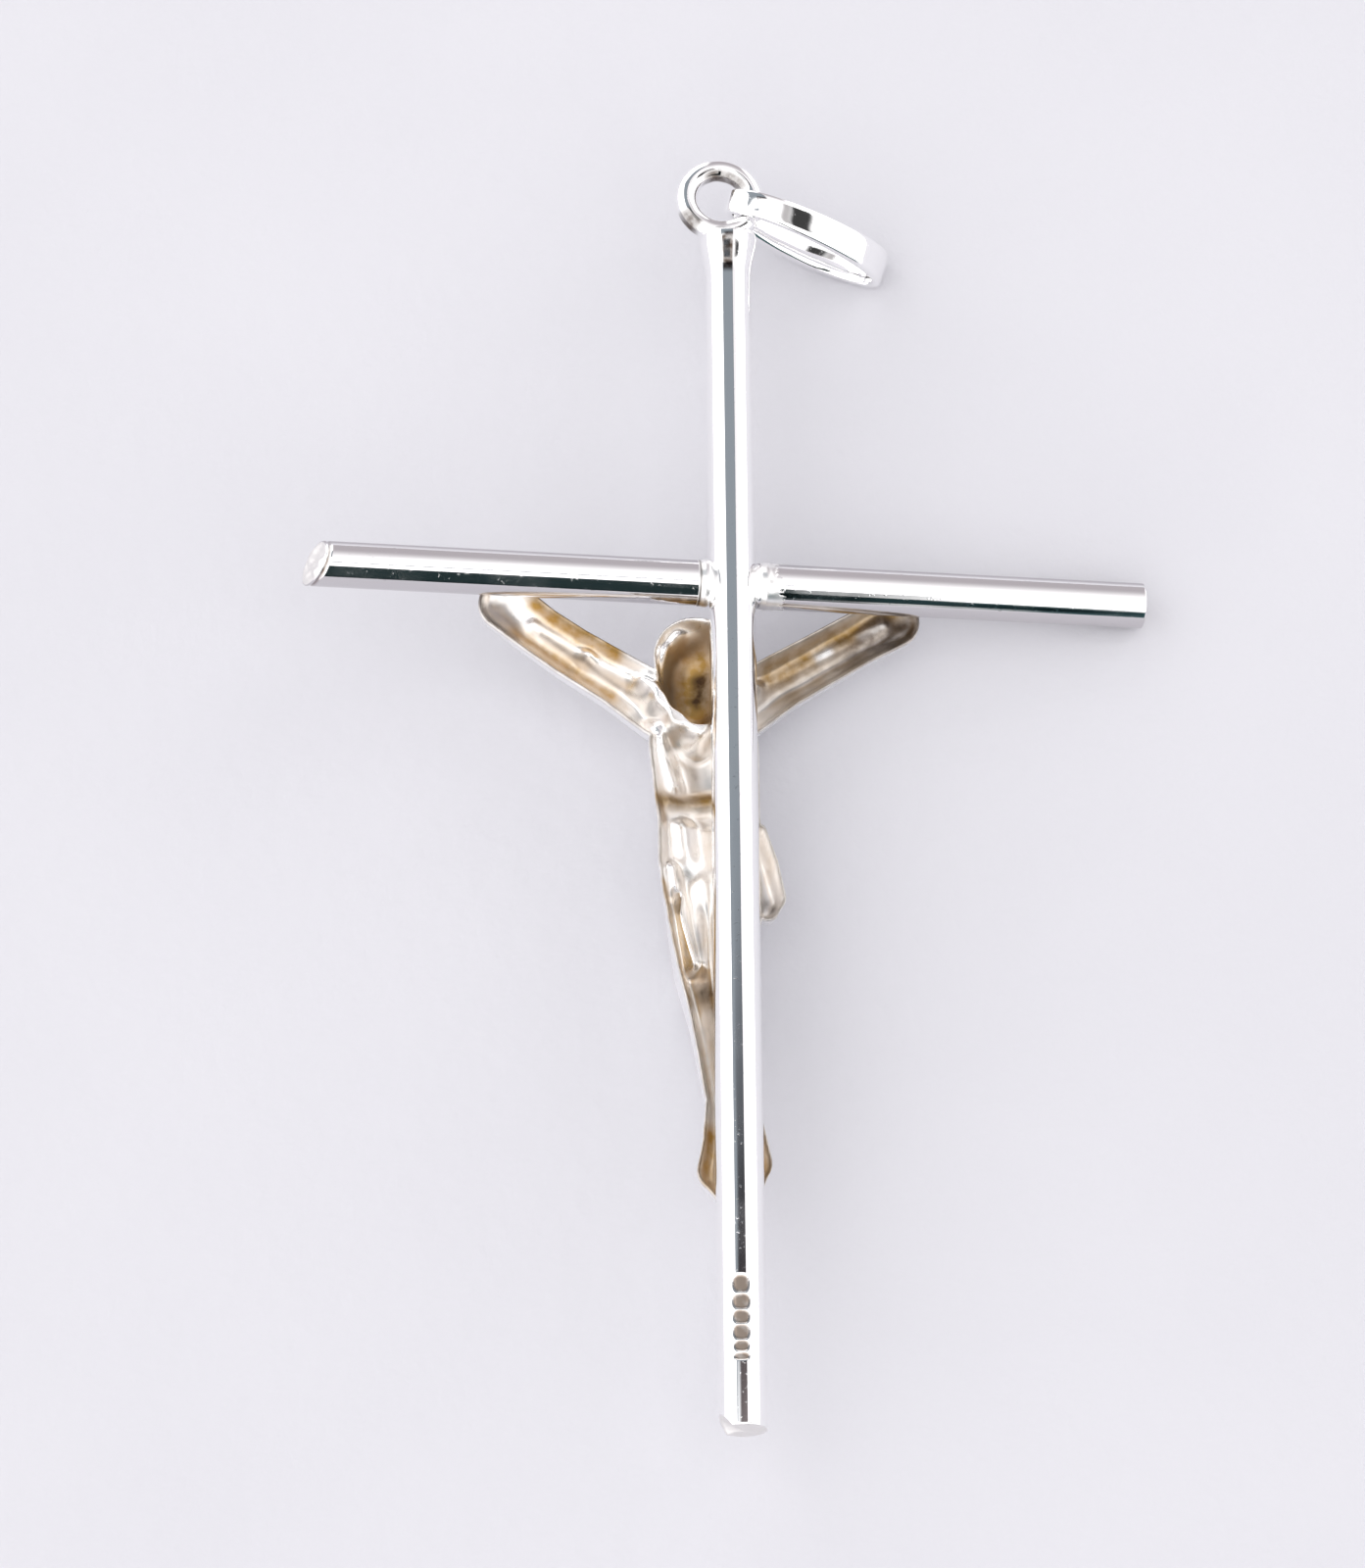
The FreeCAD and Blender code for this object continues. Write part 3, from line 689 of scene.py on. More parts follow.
def figure_modelling(across, up):
    """Raise the front's face, hair, beard, ribs, cloth folds, fingers and toes in soft strokes."""
    strokes = [*FACE_STROKES, *PAIRED_STROKES, *BODY_STROKES]
    strokes += [mirrored(stroke, FACE_MIDDLE) for stroke in PAIRED_STROKES]
    for rib in range(RIBS):
        drop = RIB_TOP - RIB_STEP * rib
        for side in (-1, 1):
            strokes.append(Stroke(side * 0.35, drop, side * 1.75, drop - 0.35, 0.11, 0.12))
    for finger in range(FINGERS):
        spread = FINGER_STEP * (finger - (FINGERS - 1) / 2)
        for side, tip_across, tip_up in HANDS:
            strokes.append(Stroke(side * 7.1, tip_up - 0.75 + spread * 0.8,
                                  tip_across - side * 0.35 * spread, tip_up + spread, 0.12, 0.16))
    for toe in range(TOES):
        for middle in FEET_MIDDLES:
            place = middle + TOE_STEP * (toe - (TOES - 1) / 2)
            strokes.append(Stroke(place, 1.15, place, 0.55, 0.09, 0.12))
    rise = sum(stroke.rise * stroke_share(across, up, stroke) for stroke in strokes)
    aside = across - FACE_MIDDLE
    from_face = np.hypot(aside / 1.05, (up - 20.9) / 1.45)
    hair = smooth_step(0.80, 1.05, from_face) * smooth_step(2.2, 1.9, np.hypot(across, (up - 21.3) * 0.8))
    strands = np.sin(HAIR_STRANDS * np.arctan2(aside, up - 20.4) + 5.0 * from_face)
    beard = smooth_step(0.75, 0.95, np.hypot(aside / 0.95, (up - 19.35) / 0.75)) - 1.0
    curls = np.sin(19.8 * aside) * np.sin(7.0 * up)
    return rise + 0.07 * hair * strands + 0.16 * hair - 0.05 * beard * curls


def spot_layers(across, up):
    """Add up the coloured places of each kind on the hollow back."""
    layers = {"bright": 0.0 * up, "tarnish": 0.0 * up, "dark": 0.0 * up}
    for spot in SPOTS:
        stroke = Stroke(spot.across, spot.up, spot.to_across, spot.to_up, spot.half_width, 1.0)
        share = spot.strength * stroke_share(across, up, stroke)
        layers[spot.kind] = np.maximum(layers[spot.kind], share)
    return layers


def make_figure(figure, look):
    """Figure: one grid lifted twice, as the modelled front and as the ridged hollow behind it.

    Behind, Z falls by the hollow's depth. In front it falls by wall + share * relief + modelling.
    """
    rim = figure.rim / MM
    wall = figure.wall / MM
    across, up, quads = outline_cells(figure.cell / MM)
    margin = np.maximum(outline_margin(across, up), 0.0)
    hollow = hollow_depth(across, up, rim, figure.hollow_share)
    hollow = hollow * smooth_step(0.0, rim, margin)
    full = relief_height(across, up, 0.0)
    swell = smooth_step(0.0, 0.6, margin)
    front = wall + figure.front_share * full + swell * figure_modelling(across, up)
    front = np.maximum(front, hollow + 0.6 * wall)
    tilt = turn("Z", np.degrees(figure.tilt))
    plate = figure.plate / MM
    flat = np.stack([across, up, np.zeros_like(up)], -1) @ tilt.T - (0, figure.down / MM, plate)
    back = flat - np.stack([0 * up, 0 * up, hollow], -1)
    ahead = flat - np.stack([0 * up, 0 * up, front], -1)
    under_floor = np.maximum(FLOOR_GAP - lay_down(ahead)[:, 2] / MM, 0.0)
    ahead[:, 2] += under_floor / LIE[2, 2]
    edges = rim_edges(quads)
    count = len(across)
    sides = np.stack([edges[:, 1], edges[:, 0], edges[:, 0] + count, edges[:, 1] + count], -1)
    faces = [quads, quads[:, ::-1] + count, sides]
    spots = spot_layers(across, up)
    depth = 0.75 + 0.25 * smooth_step(0.1, 1.2, hollow)
    # Painted shade: a dark band where the hollow is shallow, near the rim, added to the painted dark places
    edge = 0.5 * smooth_step(0.30, 0.0, hollow) * (1.0 - spots["bright"])
    spots["dark"] = np.maximum(spots["dark"], edge)
    nothing = np.zeros(count)
    add_piece("corpus_figure", np.vstack([back, ahead]), faces, look, "cast_figure", "corpus",
              depth=np.r_[depth, nothing], bright=np.r_[spots["bright"], nothing],
              tarnish=np.r_[spots["tarnish"], nothing], dark=np.r_[spots["dark"], nothing])


class Weave:
    """A node tree with short calls for adding, setting and joining nodes."""

    def __init__(self, tree):
        self.tree = tree

    def add(self, kind, inputs=None, **settings):
        """Add a node, set its properties and fill or join its inputs."""
        node = self.tree.nodes.new(kind)
        for name, value in settings.items():
            setattr(node, name, value)
        for key, value in (inputs or {}).items():
            if isinstance(value, bpy.types.NodeSocket):
                self.tree.links.new(value, node.inputs[key])
            else:
                node.inputs[key].default_value = value
        return node

    def math(self, operation, *values):
        """Add a Math node and give its output."""
        return self.add("ShaderNodeMath", dict(enumerate(values)), operation=operation).outputs[0]

    def vector_math(self, operation, first, second):
        """Add a Vector Math node and give the node."""
        return self.add("ShaderNodeVectorMath", {0: first, 1: second}, operation=operation)

    def ramp(self, value, low, high, to_low=0.0, to_high=1.0):
        """Map a value from one range to another with soft ends, and give the output."""
        inputs = {"Value": value, "From Min": low, "From Max": high, "To Min": to_low, "To Max": to_high}
        return self.add("ShaderNodeMapRange", inputs, interpolation_type="SMOOTHSTEP").outputs["Result"]

    def mix(self, factor, first, second, blend="MIX"):
        """Mix two colours and give the output."""
        node = self.add("ShaderNodeMix", data_type="RGBA", blend_type=blend)
        for key, value in ((0, factor), (6, first), (7, second)):
            if isinstance(value, bpy.types.NodeSocket):
                self.tree.links.new(value, node.inputs[key])
            else:
                node.inputs[key].default_value = value
        return node.outputs[2]


def new_group(name, inputs, outputs):
    """Start a shader node group with named inputs (kind, default) and outputs (kind)."""
    group = bpy.data.node_groups.new(name, "ShaderNodeTree")
    for label, (kind, default) in inputs.items():
        socket = group.interface.new_socket(label, in_out="INPUT", socket_type=kind)
        socket.default_value = default
    for label, kind in outputs.items():
        group.interface.new_socket(label, in_out="OUTPUT", socket_type=kind)
    weave = Weave(group)
    return group, weave, weave.add("NodeGroupInput").outputs


def hairline_group():
    """Fine polishing lines and handling scratches: a height and a roughness that change along them."""
    group, weave, given = new_group(
        "hairlines",
        {"Stretch": ("NodeSocketVector", (1.0, 1.0, 1.0)), "Fineness": ("NodeSocketFloat", 900.0),
         "Roughness": ("NodeSocketFloat", 0.08), "Spread": ("NodeSocketFloat", 0.06)},
        {"Roughness": "NodeSocketFloat", "Height": "NodeSocketFloat"},
    )
    place = weave.add("ShaderNodeTexCoord").outputs["Object"]
    stretched = weave.vector_math("MULTIPLY", place, given["Stretch"]).outputs["Vector"]
    lines = weave.add("ShaderNodeTexNoise", {"Vector": stretched, "Scale": given["Fineness"], "Detail": 6.0})
    clouds = weave.add("ShaderNodeTexNoise", {"Vector": place, "Scale": 420.0, "Detail": 4.0})
    worn = weave.ramp(clouds.outputs["Fac"], 0.42, 0.72)
    change = weave.math("MULTIPLY", weave.math("MULTIPLY", lines.outputs["Fac"], worn), given["Spread"])
    rough = weave.math("ADD", given["Roughness"], change)
    weave.add("NodeGroupOutput", {"Roughness": rough, "Height": lines.outputs["Fac"]})
    return group


def stain_and_shade_group():
    """Brown and olive staining and painted shade in the dark colour, broken up by noise: a colour and a
    roughness from three masks.
    """
    group, weave, given = new_group(
        "stains_and_painted_shade",
        {"Metal": ("NodeSocketColor", (0.8, 0.76, 0.7, 1)), "Brown": ("NodeSocketColor", (0.3, 0.2, 0.1, 1)),
         "Dark": ("NodeSocketColor", (0.05, 0.04, 0.03, 1)), "Stained": ("NodeSocketFloat", 0.0),
         "Darkened": ("NodeSocketFloat", 0.0), "Fineness": ("NodeSocketFloat", 1400.0)},
        {"Color": "NodeSocketColor", "Mask": "NodeSocketFloat"},
    )
    place = weave.add("ShaderNodeTexCoord").outputs["Object"]
    noise = weave.add("ShaderNodeTexNoise", {"Vector": place, "Scale": given["Fineness"], "Detail": 5.0})
    uneven = weave.ramp(noise.outputs["Fac"], 0.3, 0.7, 0.75, 1.2)
    stained = weave.math("MINIMUM", weave.math("MULTIPLY", given["Stained"], uneven), 1.0)
    # Painted shade and painted reflection: the darkened mask mixes in the dark colour
    darkened = weave.math("MINIMUM", weave.math("MULTIPLY", given["Darkened"], uneven), 1.0)
    brown = weave.mix(stained, given["Metal"], given["Brown"])
    weave.add("NodeGroupOutput", {"Color": weave.mix(darkened, brown, given["Dark"]), "Mask": stained})
    return group


def new_look(name):
    """Start a material with a metallic Principled shader."""
    look = bpy.data.materials.new(name)
    look.use_nodes = True
    look.node_tree.nodes.clear()
    weave = Weave(look.node_tree)
    shader = weave.add("ShaderNodeBsdfPrincipled", {"Metallic": 1.0})
    weave.add("ShaderNodeOutputMaterial", {"Surface": shader.outputs[0]})
    return look, weave, shader


def place_group(weave, name, **inputs):
    """Place a shader node group in a material, with its inputs filled."""
    node = weave.add("ShaderNodeGroup", node_tree=bpy.data.node_groups[name])
    for key, value in inputs.items():
        if isinstance(value, bpy.types.NodeSocket):
            weave.tree.links.new(value, node.inputs[key])
        else:
            node.inputs[key].default_value = value
    return node.outputs


def layer(weave, name):
    """Read a mesh attribute as a number."""
    return weave.add("ShaderNodeAttribute", attribute_name=name).outputs["Fac"]


def add_bump(weave, shader, height, distance, strength):
    """Feed a height to the shader's normal."""
    bump = weave.add("ShaderNodeBump", {"Height": height, "Distance": distance, "Strength": strength})
    weave.tree.links.new(bump.outputs[0], shader.inputs["Normal"])


def polished_look(name, finish, stretch):
    """Polished white metal with hairlines, champagne dents and rough grey ends, with painted shade and
    painted reflection darkening it where the layers ask.
    """
    look, weave, shader = new_look(name)
    hair = place_group(weave, "hairlines", Stretch=stretch, Roughness=finish.polish, Spread=0.09)
    rough_end = layer(weave, "rough_end")
    punched = layer(weave, "punched")
    stain_and_shade = place_group(weave, "stains_and_painted_shade", Metal=(*finish.white_metal, 1), Brown=(*finish.champagne, 1),
                        Dark=(*finish.tarnish_and_painted_shade, 1), Stained=punched, Darkened=layer(weave, "darkened"),
                        Fineness=2600.0)
    grain = weave.add("ShaderNodeTexNoise", {"Scale": 5200.0, "Detail": 4.0})
    weave.tree.links.new(weave.add("ShaderNodeTexCoord").outputs["Object"], grain.inputs["Vector"])
    # Painted shade on the arms' lower side and upper edge
    color = weave.mix(layer(weave, "dull"), stain_and_shade["Color"], (*finish.dull_metal, 1))
    color = weave.mix(rough_end, color, (*finish.cut_end, 1))
    weave.tree.links.new(color, shader.inputs["Base Color"])
    rough = weave.math("MAXIMUM", hair["Roughness"], weave.math("MULTIPLY", rough_end, 0.5))
    rough = weave.math("MAXIMUM", rough, weave.math("MULTIPLY", punched, 0.3))
    weave.tree.links.new(rough, shader.inputs["Roughness"])
    coarse = weave.math("MULTIPLY", grain.outputs["Fac"], weave.math("MULTIPLY", rough_end, 8.0))
    coarse = weave.math("ADD", coarse, weave.ramp(grain.outputs["Fac"], 0.62, 0.74, 0.0, 0.5))
    height = weave.math("ADD", weave.math("MULTIPLY", hair["Height"], 0.35), coarse)
    add_bump(weave, shader, height, 0.000004, 0.5)
    return look


def solder_look(finish):
    """Solder: a little greyer and softer than the rods, pitted here and there."""
    look, weave, shader = new_look("solder")
    hair = place_group(weave, "hairlines", Fineness=1500.0, Roughness=finish.solder_polish, Spread=0.10)
    place = weave.add("ShaderNodeTexCoord").outputs["Object"]
    pits = weave.add("ShaderNodeTexNoise", {"Vector": place, "Scale": 2300.0, "Detail": 5.0})
    pitted = weave.ramp(pits.outputs["Fac"], 0.62, 0.80, 0.0, 0.25)
    stain_and_shade = place_group(weave, "stains_and_painted_shade", Metal=(*finish.solder, 1), Brown=(*finish.champagne, 1),
                        Dark=(*finish.tarnish_and_painted_shade, 1), Stained=pitted,
                        Darkened=layer(weave, "darkened"), Fineness=1800.0)
    weave.tree.links.new(stain_and_shade["Color"], shader.inputs["Base Color"])
    weave.tree.links.new(hair["Roughness"], shader.inputs["Roughness"])
    add_bump(weave, shader, pits.outputs["Fac"], 0.000004, 0.1)
    return look


def cast_look(finish):
    """Cast metal of the figure: plain white metal in front, stained brown and olive in the hollow, with
    painted highlights and painted shade there.
    """
    look, weave, shader = new_look("figure_metal")
    depth, bright, tarnish, dark = (layer(weave, n) for n in ("depth", "bright", "tarnish", "dark"))
    place = weave.add("ShaderNodeTexCoord").outputs["Object"]
    clouds = weave.add("ShaderNodeTexNoise", {"Vector": place, "Scale": 700.0, "Detail": 5.0})
    spread = weave.math("MULTIPLY", weave.ramp(clouds.outputs["Fac"], 0.45, 0.7, 0.0, 0.25), depth)
    stained = weave.math("ADD", tarnish, spread)
    # Painted highlights keep the metal white and free of tarnish
    kept = weave.math("SUBTRACT", 1.0, bright)
    stained = weave.math("MULTIPLY", stained, kept)
    metal = weave.mix(weave.math("MULTIPLY", depth, kept), (*finish.white_metal, 1), (*finish.warm_metal, 1))
    # The dark layer mixes in painted shade and painted reflection
    stain_and_shade = place_group(weave, "stains_and_painted_shade", Metal=metal, Brown=(*finish.brown_tarnish, 1),
                        Dark=(*finish.tarnish_and_painted_shade, 1), Stained=stained, Darkened=dark, Fineness=1500.0)
    weave.tree.links.new(stain_and_shade["Color"], shader.inputs["Base Color"])
    hair = place_group(weave, "hairlines", Fineness=1700.0, Roughness=finish.cast_polish, Spread=0.10)
    rough = weave.math("ADD", hair["Roughness"], weave.math("MULTIPLY", stain_and_shade["Mask"], 0.14))
    rough = weave.math("SUBTRACT", rough, weave.math("MULTIPLY", bright, 0.06))
    weave.tree.links.new(rough, shader.inputs["Roughness"])
    fine = weave.add("ShaderNodeTexNoise", {"Vector": place, "Scale": 3600.0, "Detail": 4.0})
    add_bump(weave, shader, fine.outputs["Fac"], 0.00001, 0.3)
    return look


def paper_look(stage):
    """Pale lavender paper with a faint tooth."""
    look, weave, shader = new_look("paper")
    shader.inputs["Metallic"].default_value = 0.0
    shader.inputs["Roughness"].default_value = 0.9
    shader.inputs["Specular IOR Level"].default_value = 0.1
    place = weave.add("ShaderNodeTexCoord").outputs["Object"]
    tooth = weave.add("ShaderNodeTexNoise", {"Vector": place, "Scale": 1100.0, "Detail": 6.0})
    clouds = weave.add("ShaderNodeTexNoise", {"Vector": place, "Scale": 60.0, "Detail": 3.0})
    pale = weave.mix(weave.ramp(clouds.outputs["Fac"], 0.3, 0.7), (*stage.paper, 1), (*stage.paper_shade, 1))
    weave.tree.links.new(pale, shader.inputs["Base Color"])
    add_bump(weave, shader, tooth.outputs["Fac"], 0.00012, 0.5)
    return look


# Darker parts of the soft surround, in degrees from straight above the back: towards +X and +Y.
# Each has how softly its two pairs of edges fade and the colour that it keeps of the light.
Card = namedtuple("Card", "name from_across to_across fade_across from_along to_along fade_along light")
CARDS = (
    Card("behind the camera", 2.0, 10.2, 1.0, -92.0, -31.0, 1.2, (0.010, 0.018, 0.019)),
    Card("beside the joint", 8.4, 12.4, 0.8, -77.0, -51.0, 2.0, (0.03, 0.06, 0.065)),
    Card("beside the arm's end", 10.6, 60.0, 0.8, -87.0, -57.0, 2.0, (0.03, 0.06, 0.065)),
    Card("thin gap", 2.0, 10.2, 1.0, -13.5, -10.0, 0.8, (0.12, 0.13, 0.15)),
    Card("gap overhead", -28.0, 2.0, 1.5, 16.2, 50.0, 1.3, (0.165, 0.185, 0.205)),
    Card("dark gap overhead", -13.0, 2.0, 2.0, 13.5, 19.5, 2.5, (0.12, 0.10, 0.10)),
    Card("low gap overhead", -15.0, -6.0, 0.8, 5.0, 9.5, 0.8, (0.12, 0.14, 0.16)),
    Card("far edge", 0.0, 24.0, 4.0, 22.0, 150.0, 38.0, (0.27, 0.25, 0.265)),
    Card("right gap", 24.0, 38.0, 2.5, -9.0, 11.0, 2.0, (0.03, 0.03, 0.03)),
    Card("right gap's fringe", 17.0, 24.0, 2.5, -9.0, 11.0, 2.0, (0.35, 0.34, 0.34)),
)


def light_surround(stage):
    """Light the scene from a soft white surround with a few darker gaps in it."""
    world = bpy.data.worlds.new("surround")
    world.use_nodes = True
    world.node_tree.nodes.clear()
    weave = Weave(world.node_tree)
    ray = weave.add("ShaderNodeTexCoord").outputs["Generated"]
    parts = []
    for column in range(3):
        axis = tuple(float(v) for v in LIE[:, column])
        parts.append(weave.vector_math("DOT_PRODUCT", ray, axis).outputs["Value"])
    across = weave.math("MULTIPLY", weave.math("ARCSINE", parts[0]), 57.2958)
    along = weave.math("MULTIPLY", weave.math("ARCTAN2", parts[1], parts[2]), 57.2958)
    color = (*stage.surround, 1)
    for card in CARDS:
        inside = 1.0
        for value, low, high, fade in ((across, card.from_across, card.to_across, card.fade_across),
                                       (along, card.from_along, card.to_along, card.fade_along)):
            rising = weave.ramp(value, low - fade, low + fade)
            falling = weave.ramp(value, high - fade, high + fade, 1.0, 0.0)
            inside = weave.math("MULTIPLY", inside, weave.math("MULTIPLY", rising, falling))
        color = weave.mix(inside, color, (*card.light, 1), "MULTIPLY")
    shader = weave.add("ShaderNodeBackground", {"Color": color, "Strength": stage.brightness})
    weave.add("ShaderNodeOutputWorld", {"Surface": shader.outputs[0]})
    bpy.context.scene.world = world


# Camera in the cross's frame: its place in millimetres, then turns about X, Y and Z in degrees
CAMERA_PLACE = (-33.279, -91.235, 205.542)
CAMERA_TURNS = (21.804, -8.447, -0.510)


def make_camera(stage):
    """Set the camera at the picture's angle, worked out from the cross's own rods."""
    camera = bpy.data.cameras.new("camera")
    camera.lens = stage.lens
    camera.sensor_width = 36.0
    camera.clip_start = 0.01
    camera.clip_end = 10.0
    item = bpy.data.objects.new("camera", camera)
    pitch, yaw, roll = CAMERA_TURNS
    pose = np.eye(4)
    pose[:3, :3] = LIE @ turn("Z", roll) @ turn("Y", yaw) @ turn("X", pitch)
    pose[:3, 3] = lay_down(np.array([CAMERA_PLACE]))[0]
    item.matrix_world = Matrix(pose.tolist())
    bpy.context.scene.collection.objects.link(item)
    bpy.context.scene.camera = item


def make_floor(stage):
    """Lay a large sheet of paper under the pendant."""
    half = stage.floor_size / 2
    mesh = bpy.data.meshes.new("paper_floor")
    corners = [(-half, -half, 0), (half, -half, 0), (half, half, 0), (-half, half, 0)]
    mesh.from_pydata(corners, [], [(0, 1, 2, 3)])
    mesh.materials.append(paper_look(stage))
    floor = bpy.data.objects.new("paper_floor", mesh)
    bpy.context.scene.collection.objects.link(floor)


def length(label, words, millimetres):
    """Describe a size property in metres from its value in millimetres."""
    return FloatProperty(name=label, description=words, default=millimetres * MM, unit="LENGTH", precision=5)


def number(label, words, value):
    """Describe a plain number property."""
    return FloatProperty(name=label, description=words, default=value)


def angle(label, words, degrees):
    """Describe an angle property from its value in degrees."""
    return FloatProperty(name=label, description=words, default=np.radians(degrees), subtype="ANGLE")


def tint(label, words, color):
    """Describe a colour property."""
    return FloatVectorProperty(name=label, description=words, default=color, subtype="COLOR",
                               min=0.0, max=1.0)


class RodSizes(bpy.types.PropertyGroup):
    """Sizes of the two rods."""

    upright_diameter: length("Upright diameter", "Thickness of the upright rod", 1.8)
    upright_below: length("Below the crossing", "Crossing to the foot end", 33.7)
    upright_above: length("Above the crossing", "Crossing to the ring end", 14.9)
    arm_diameter: length("Arm diameter", "Thickness of the crossbar", 1.77)
    arm_length: length("Arm length", "Crossing to the middle of each arm's end", 16.2)
    flare_radius: length("Flare radius", "Radius of the upright's ring end", 1.12)
    flare_length: length("Flare length", "Length over which the ring end widens", 1.7)
    edge_round: length("Edge rounding", "Rounding at the rods' cut ends", 0.07)
    arm_start: length("Arm start", "Crossing to each arm's near end, inside the solder", 0.95)
    groove_place: length("Groove place", "Left arm's end to the worn groove beside it", 0.17)
    groove_depth: length("Groove depth", "Depth of that groove", 0.05)
    left_cut: angle("Left cut", "Lean of the left end's cut", 22.0)
    left_lean: number("Left lean", "Share by which the left end's lower side is longer", 0.2)
    # Shares of painted shade on the arms' lower side and upper edge
    under_dull: number("Dull underside", "How dull the arms' lower side is", 0.6)
    top_dull: number("Dull top", "How dull the arms' upper edge is", 1.0)
    flat_half_angle: angle("Flat's half angle", "Half the angle of the flat down the upright's back", 13.0)
    flat_depth: number("Flat's depth", "1 is a true flat, 0 leaves the rod round", 0.7)
    flat_turn: angle("Flat's turn", "How far the flat is turned off the back", -9.5)
    # Darkness of the painted reflection stripe on the flat where the ring end widens
    flare_painted_stripe: number("Flare's grime", "How dark the flat is where the ring end widens", 0.82)
    foot_bevel: number("Foot bevel", "Slope of the nick at the foot's left corner", 1.5)
    neck_start: length("Neck start", "Crossing to the solder's near end, inside the upright", 0.5)
    neck_radius: length("Neck radius", "Radius of the solder inside the upright", 0.62)
    collar_rise: length("Collar rise", "Height of the left solder's collar over the arm", 0.05)
    collar_end: length("Collar end", "Crossing to the end of the left solder", 1.46)
    # Place of the dark line of painted shade beside the collar
    crease: length("Crease", "Crossing to the dark crease beside the collar", 1.34)
    smear_length: length("Smear length", "Crossing to the mean edge of the right solder's smear", 1.95)
    smear_end: length("Smear end", "Crossing to the end of the right solder, inside the arm", 3.0)


class RingSizes(bpy.types.PropertyGroup):
    """Sizes of the top ring."""

    wire_radius: length("Wire radius", "Radius of the ring's round wire", 0.435)
    mean_radius: length("Ring radius", "Ring's axis to the middle of its wire", 1.35)
    across: length("Across", "Ring's middle, across the cross", -0.3)
    up: length("Up", "Ring's middle, above the crossing", 16.6)


class BailSizes(bpy.types.PropertyGroup):
    """Sizes and place of the loose bail."""

    length: length("Length", "Outside, along the oval", 7.36)
    height: length("Height", "Outside, across the oval", 3.36)
    wall: length("Wall", "Thickness of the band", 0.38)
    ring_end: length("Width at the ring", "Width of the band where it passes the ring", 1.0)
    free_end: length("Width at the free end", "Width of the band at its free end", 1.35)
    across: length("Across", "Middle of the oval, across the cross", 3.33)
    up: length("Up", "Middle of the oval, above the crossing", 15.81)
    back: length("Back", "Middle of the oval, towards the back", -1.075)
    turn: angle("Turn", "Turn about the back's normal", -11.65)
    slope: angle("Slope", "How far the free end points down", 22.85)
    lean: angle("Lean", "Turn about the oval's long axis", 11.2)


class FigureSizes(bpy.types.PropertyGroup):
    """Sizes of the hollow-backed figure."""

    wall: length("Wall", "Thickness of the shell", 0.3)
    rim: length("Rim", "Width of the flat rim round the hollow", 0.13)
    plate: length("Depth of the rim", "Rim's plane in front of the rods' axes", 0.95)
    down: length("Down", "Toes' place below the crossing", 24.5)
    cell: length("Cell", "Grid step of the figure's surfaces", 0.055)
    tilt: angle("Tilt", "How far the figure leans off the upright", 3.2)
    hollow_share: number("Hollow share", "Part of the relief that is hollow behind", 0.72)
    front_share: number("Front share", "Part of the relief under the modelling", 0.9)


class Finish(bpy.types.PropertyGroup):
    """Colours and polish of the metal."""

    white_metal: tint("White metal", "Polished rods, ring and bail", (0.985, 0.98, 0.98))
    warm_metal: tint("Warm metal", "Inside of the figure where it is clean", (0.93, 0.885, 0.84))
    solder: tint("Solder", "Joins between rods and ring", (0.95, 0.94, 0.93))
    champagne: tint("Champagne", "Punched dents near the foot", (0.36, 0.29, 0.24))
    # Colour of the painted shade on the crossbar's lower side and upper edge
    dull_metal: tint("Dull metal", "Dulled sides of the crossbar", (0.43, 0.40, 0.42))
    cut_end: tint("Cut end", "Rough faces at the rods' ends", (0.80, 0.78, 0.77))
    brown_tarnish: tint("Brown tarnish", "Stains in the hollow", (0.52, 0.32, 0.10))
    # Colour of the painted shade and painted reflection on rods, ring, solder and figure, as dark as the
    # deepest tarnish
    tarnish_and_painted_shade: tint("Dark tarnish", "Deepest stains", (0.06, 0.035, 0.02))
    polish: number("Polish", "Roughness of the polished rods", 0.05)
    solder_polish: number("Solder's polish", "Roughness of the solder", 0.30)
    cast_polish: number("Cast polish", "Roughness of the figure", 0.29)


class StageLook(bpy.types.PropertyGroup):
    """Paper, surround and camera."""

    paper: tint("Paper", "Lit colour of the paper", (0.618, 0.610, 0.645))
    paper_shade: tint("Paper's clouds", "Slightly darker places of the paper", (0.604, 0.596, 0.632))
    surround: tint("Surround", "Colour of the soft light", (1.0, 0.995, 1.0))
    brightness: number("Brightness", "Strength of the soft light", 1.7)
    lens: number("Lens", "Focal length in millimetres on a 36 mm sensor", 135.01)
    floor_size: FloatProperty(name="Floor size", description="Width of the paper", default=3.0, unit="LENGTH")


def shared_looks():
    """Build the shared groups and materials once, and give them by name."""
    finish = bpy.context.scene.pendant_finish
    if "rod_upright" not in bpy.data.materials:
        hairline_group()
        stain_and_shade_group()
        polished_look("rod_upright", finish, (1.0, 0.06, 1.0))
        polished_look("rod_crossbar", finish, (0.06, 1.0, 1.0))
        polished_look("bail_metal", finish, (1.0, 1.0, 1.0))
        solder_look(finish)
        cast_look(finish)
    return bpy.data.materials


class PENDANT_OT_rods(bpy.types.Operator):
    """Make the upright and the two arms"""

    bl_idname = "pendant.rods"
    bl_label = "Rods"

    def execute(self, context):
        looks = shared_looks()
        rods = context.scene.pendant_rods
        make_upright(rods, looks["rod_upright"])
        make_arm("left_arm_rod", rods, -1, looks["rod_crossbar"])
        make_arm("right_arm_rod", rods, 1, looks["rod_crossbar"])
        return {"FINISHED"}


class PENDANT_OT_solder(bpy.types.Operator):
    """Make the solder at the crossing"""

    bl_idname = "pendant.solder"
    bl_label = "Solder"

    def execute(self, context):
        make_solder(context.scene.pendant_rods, shared_looks()["solder"])
        return {"FINISHED"}


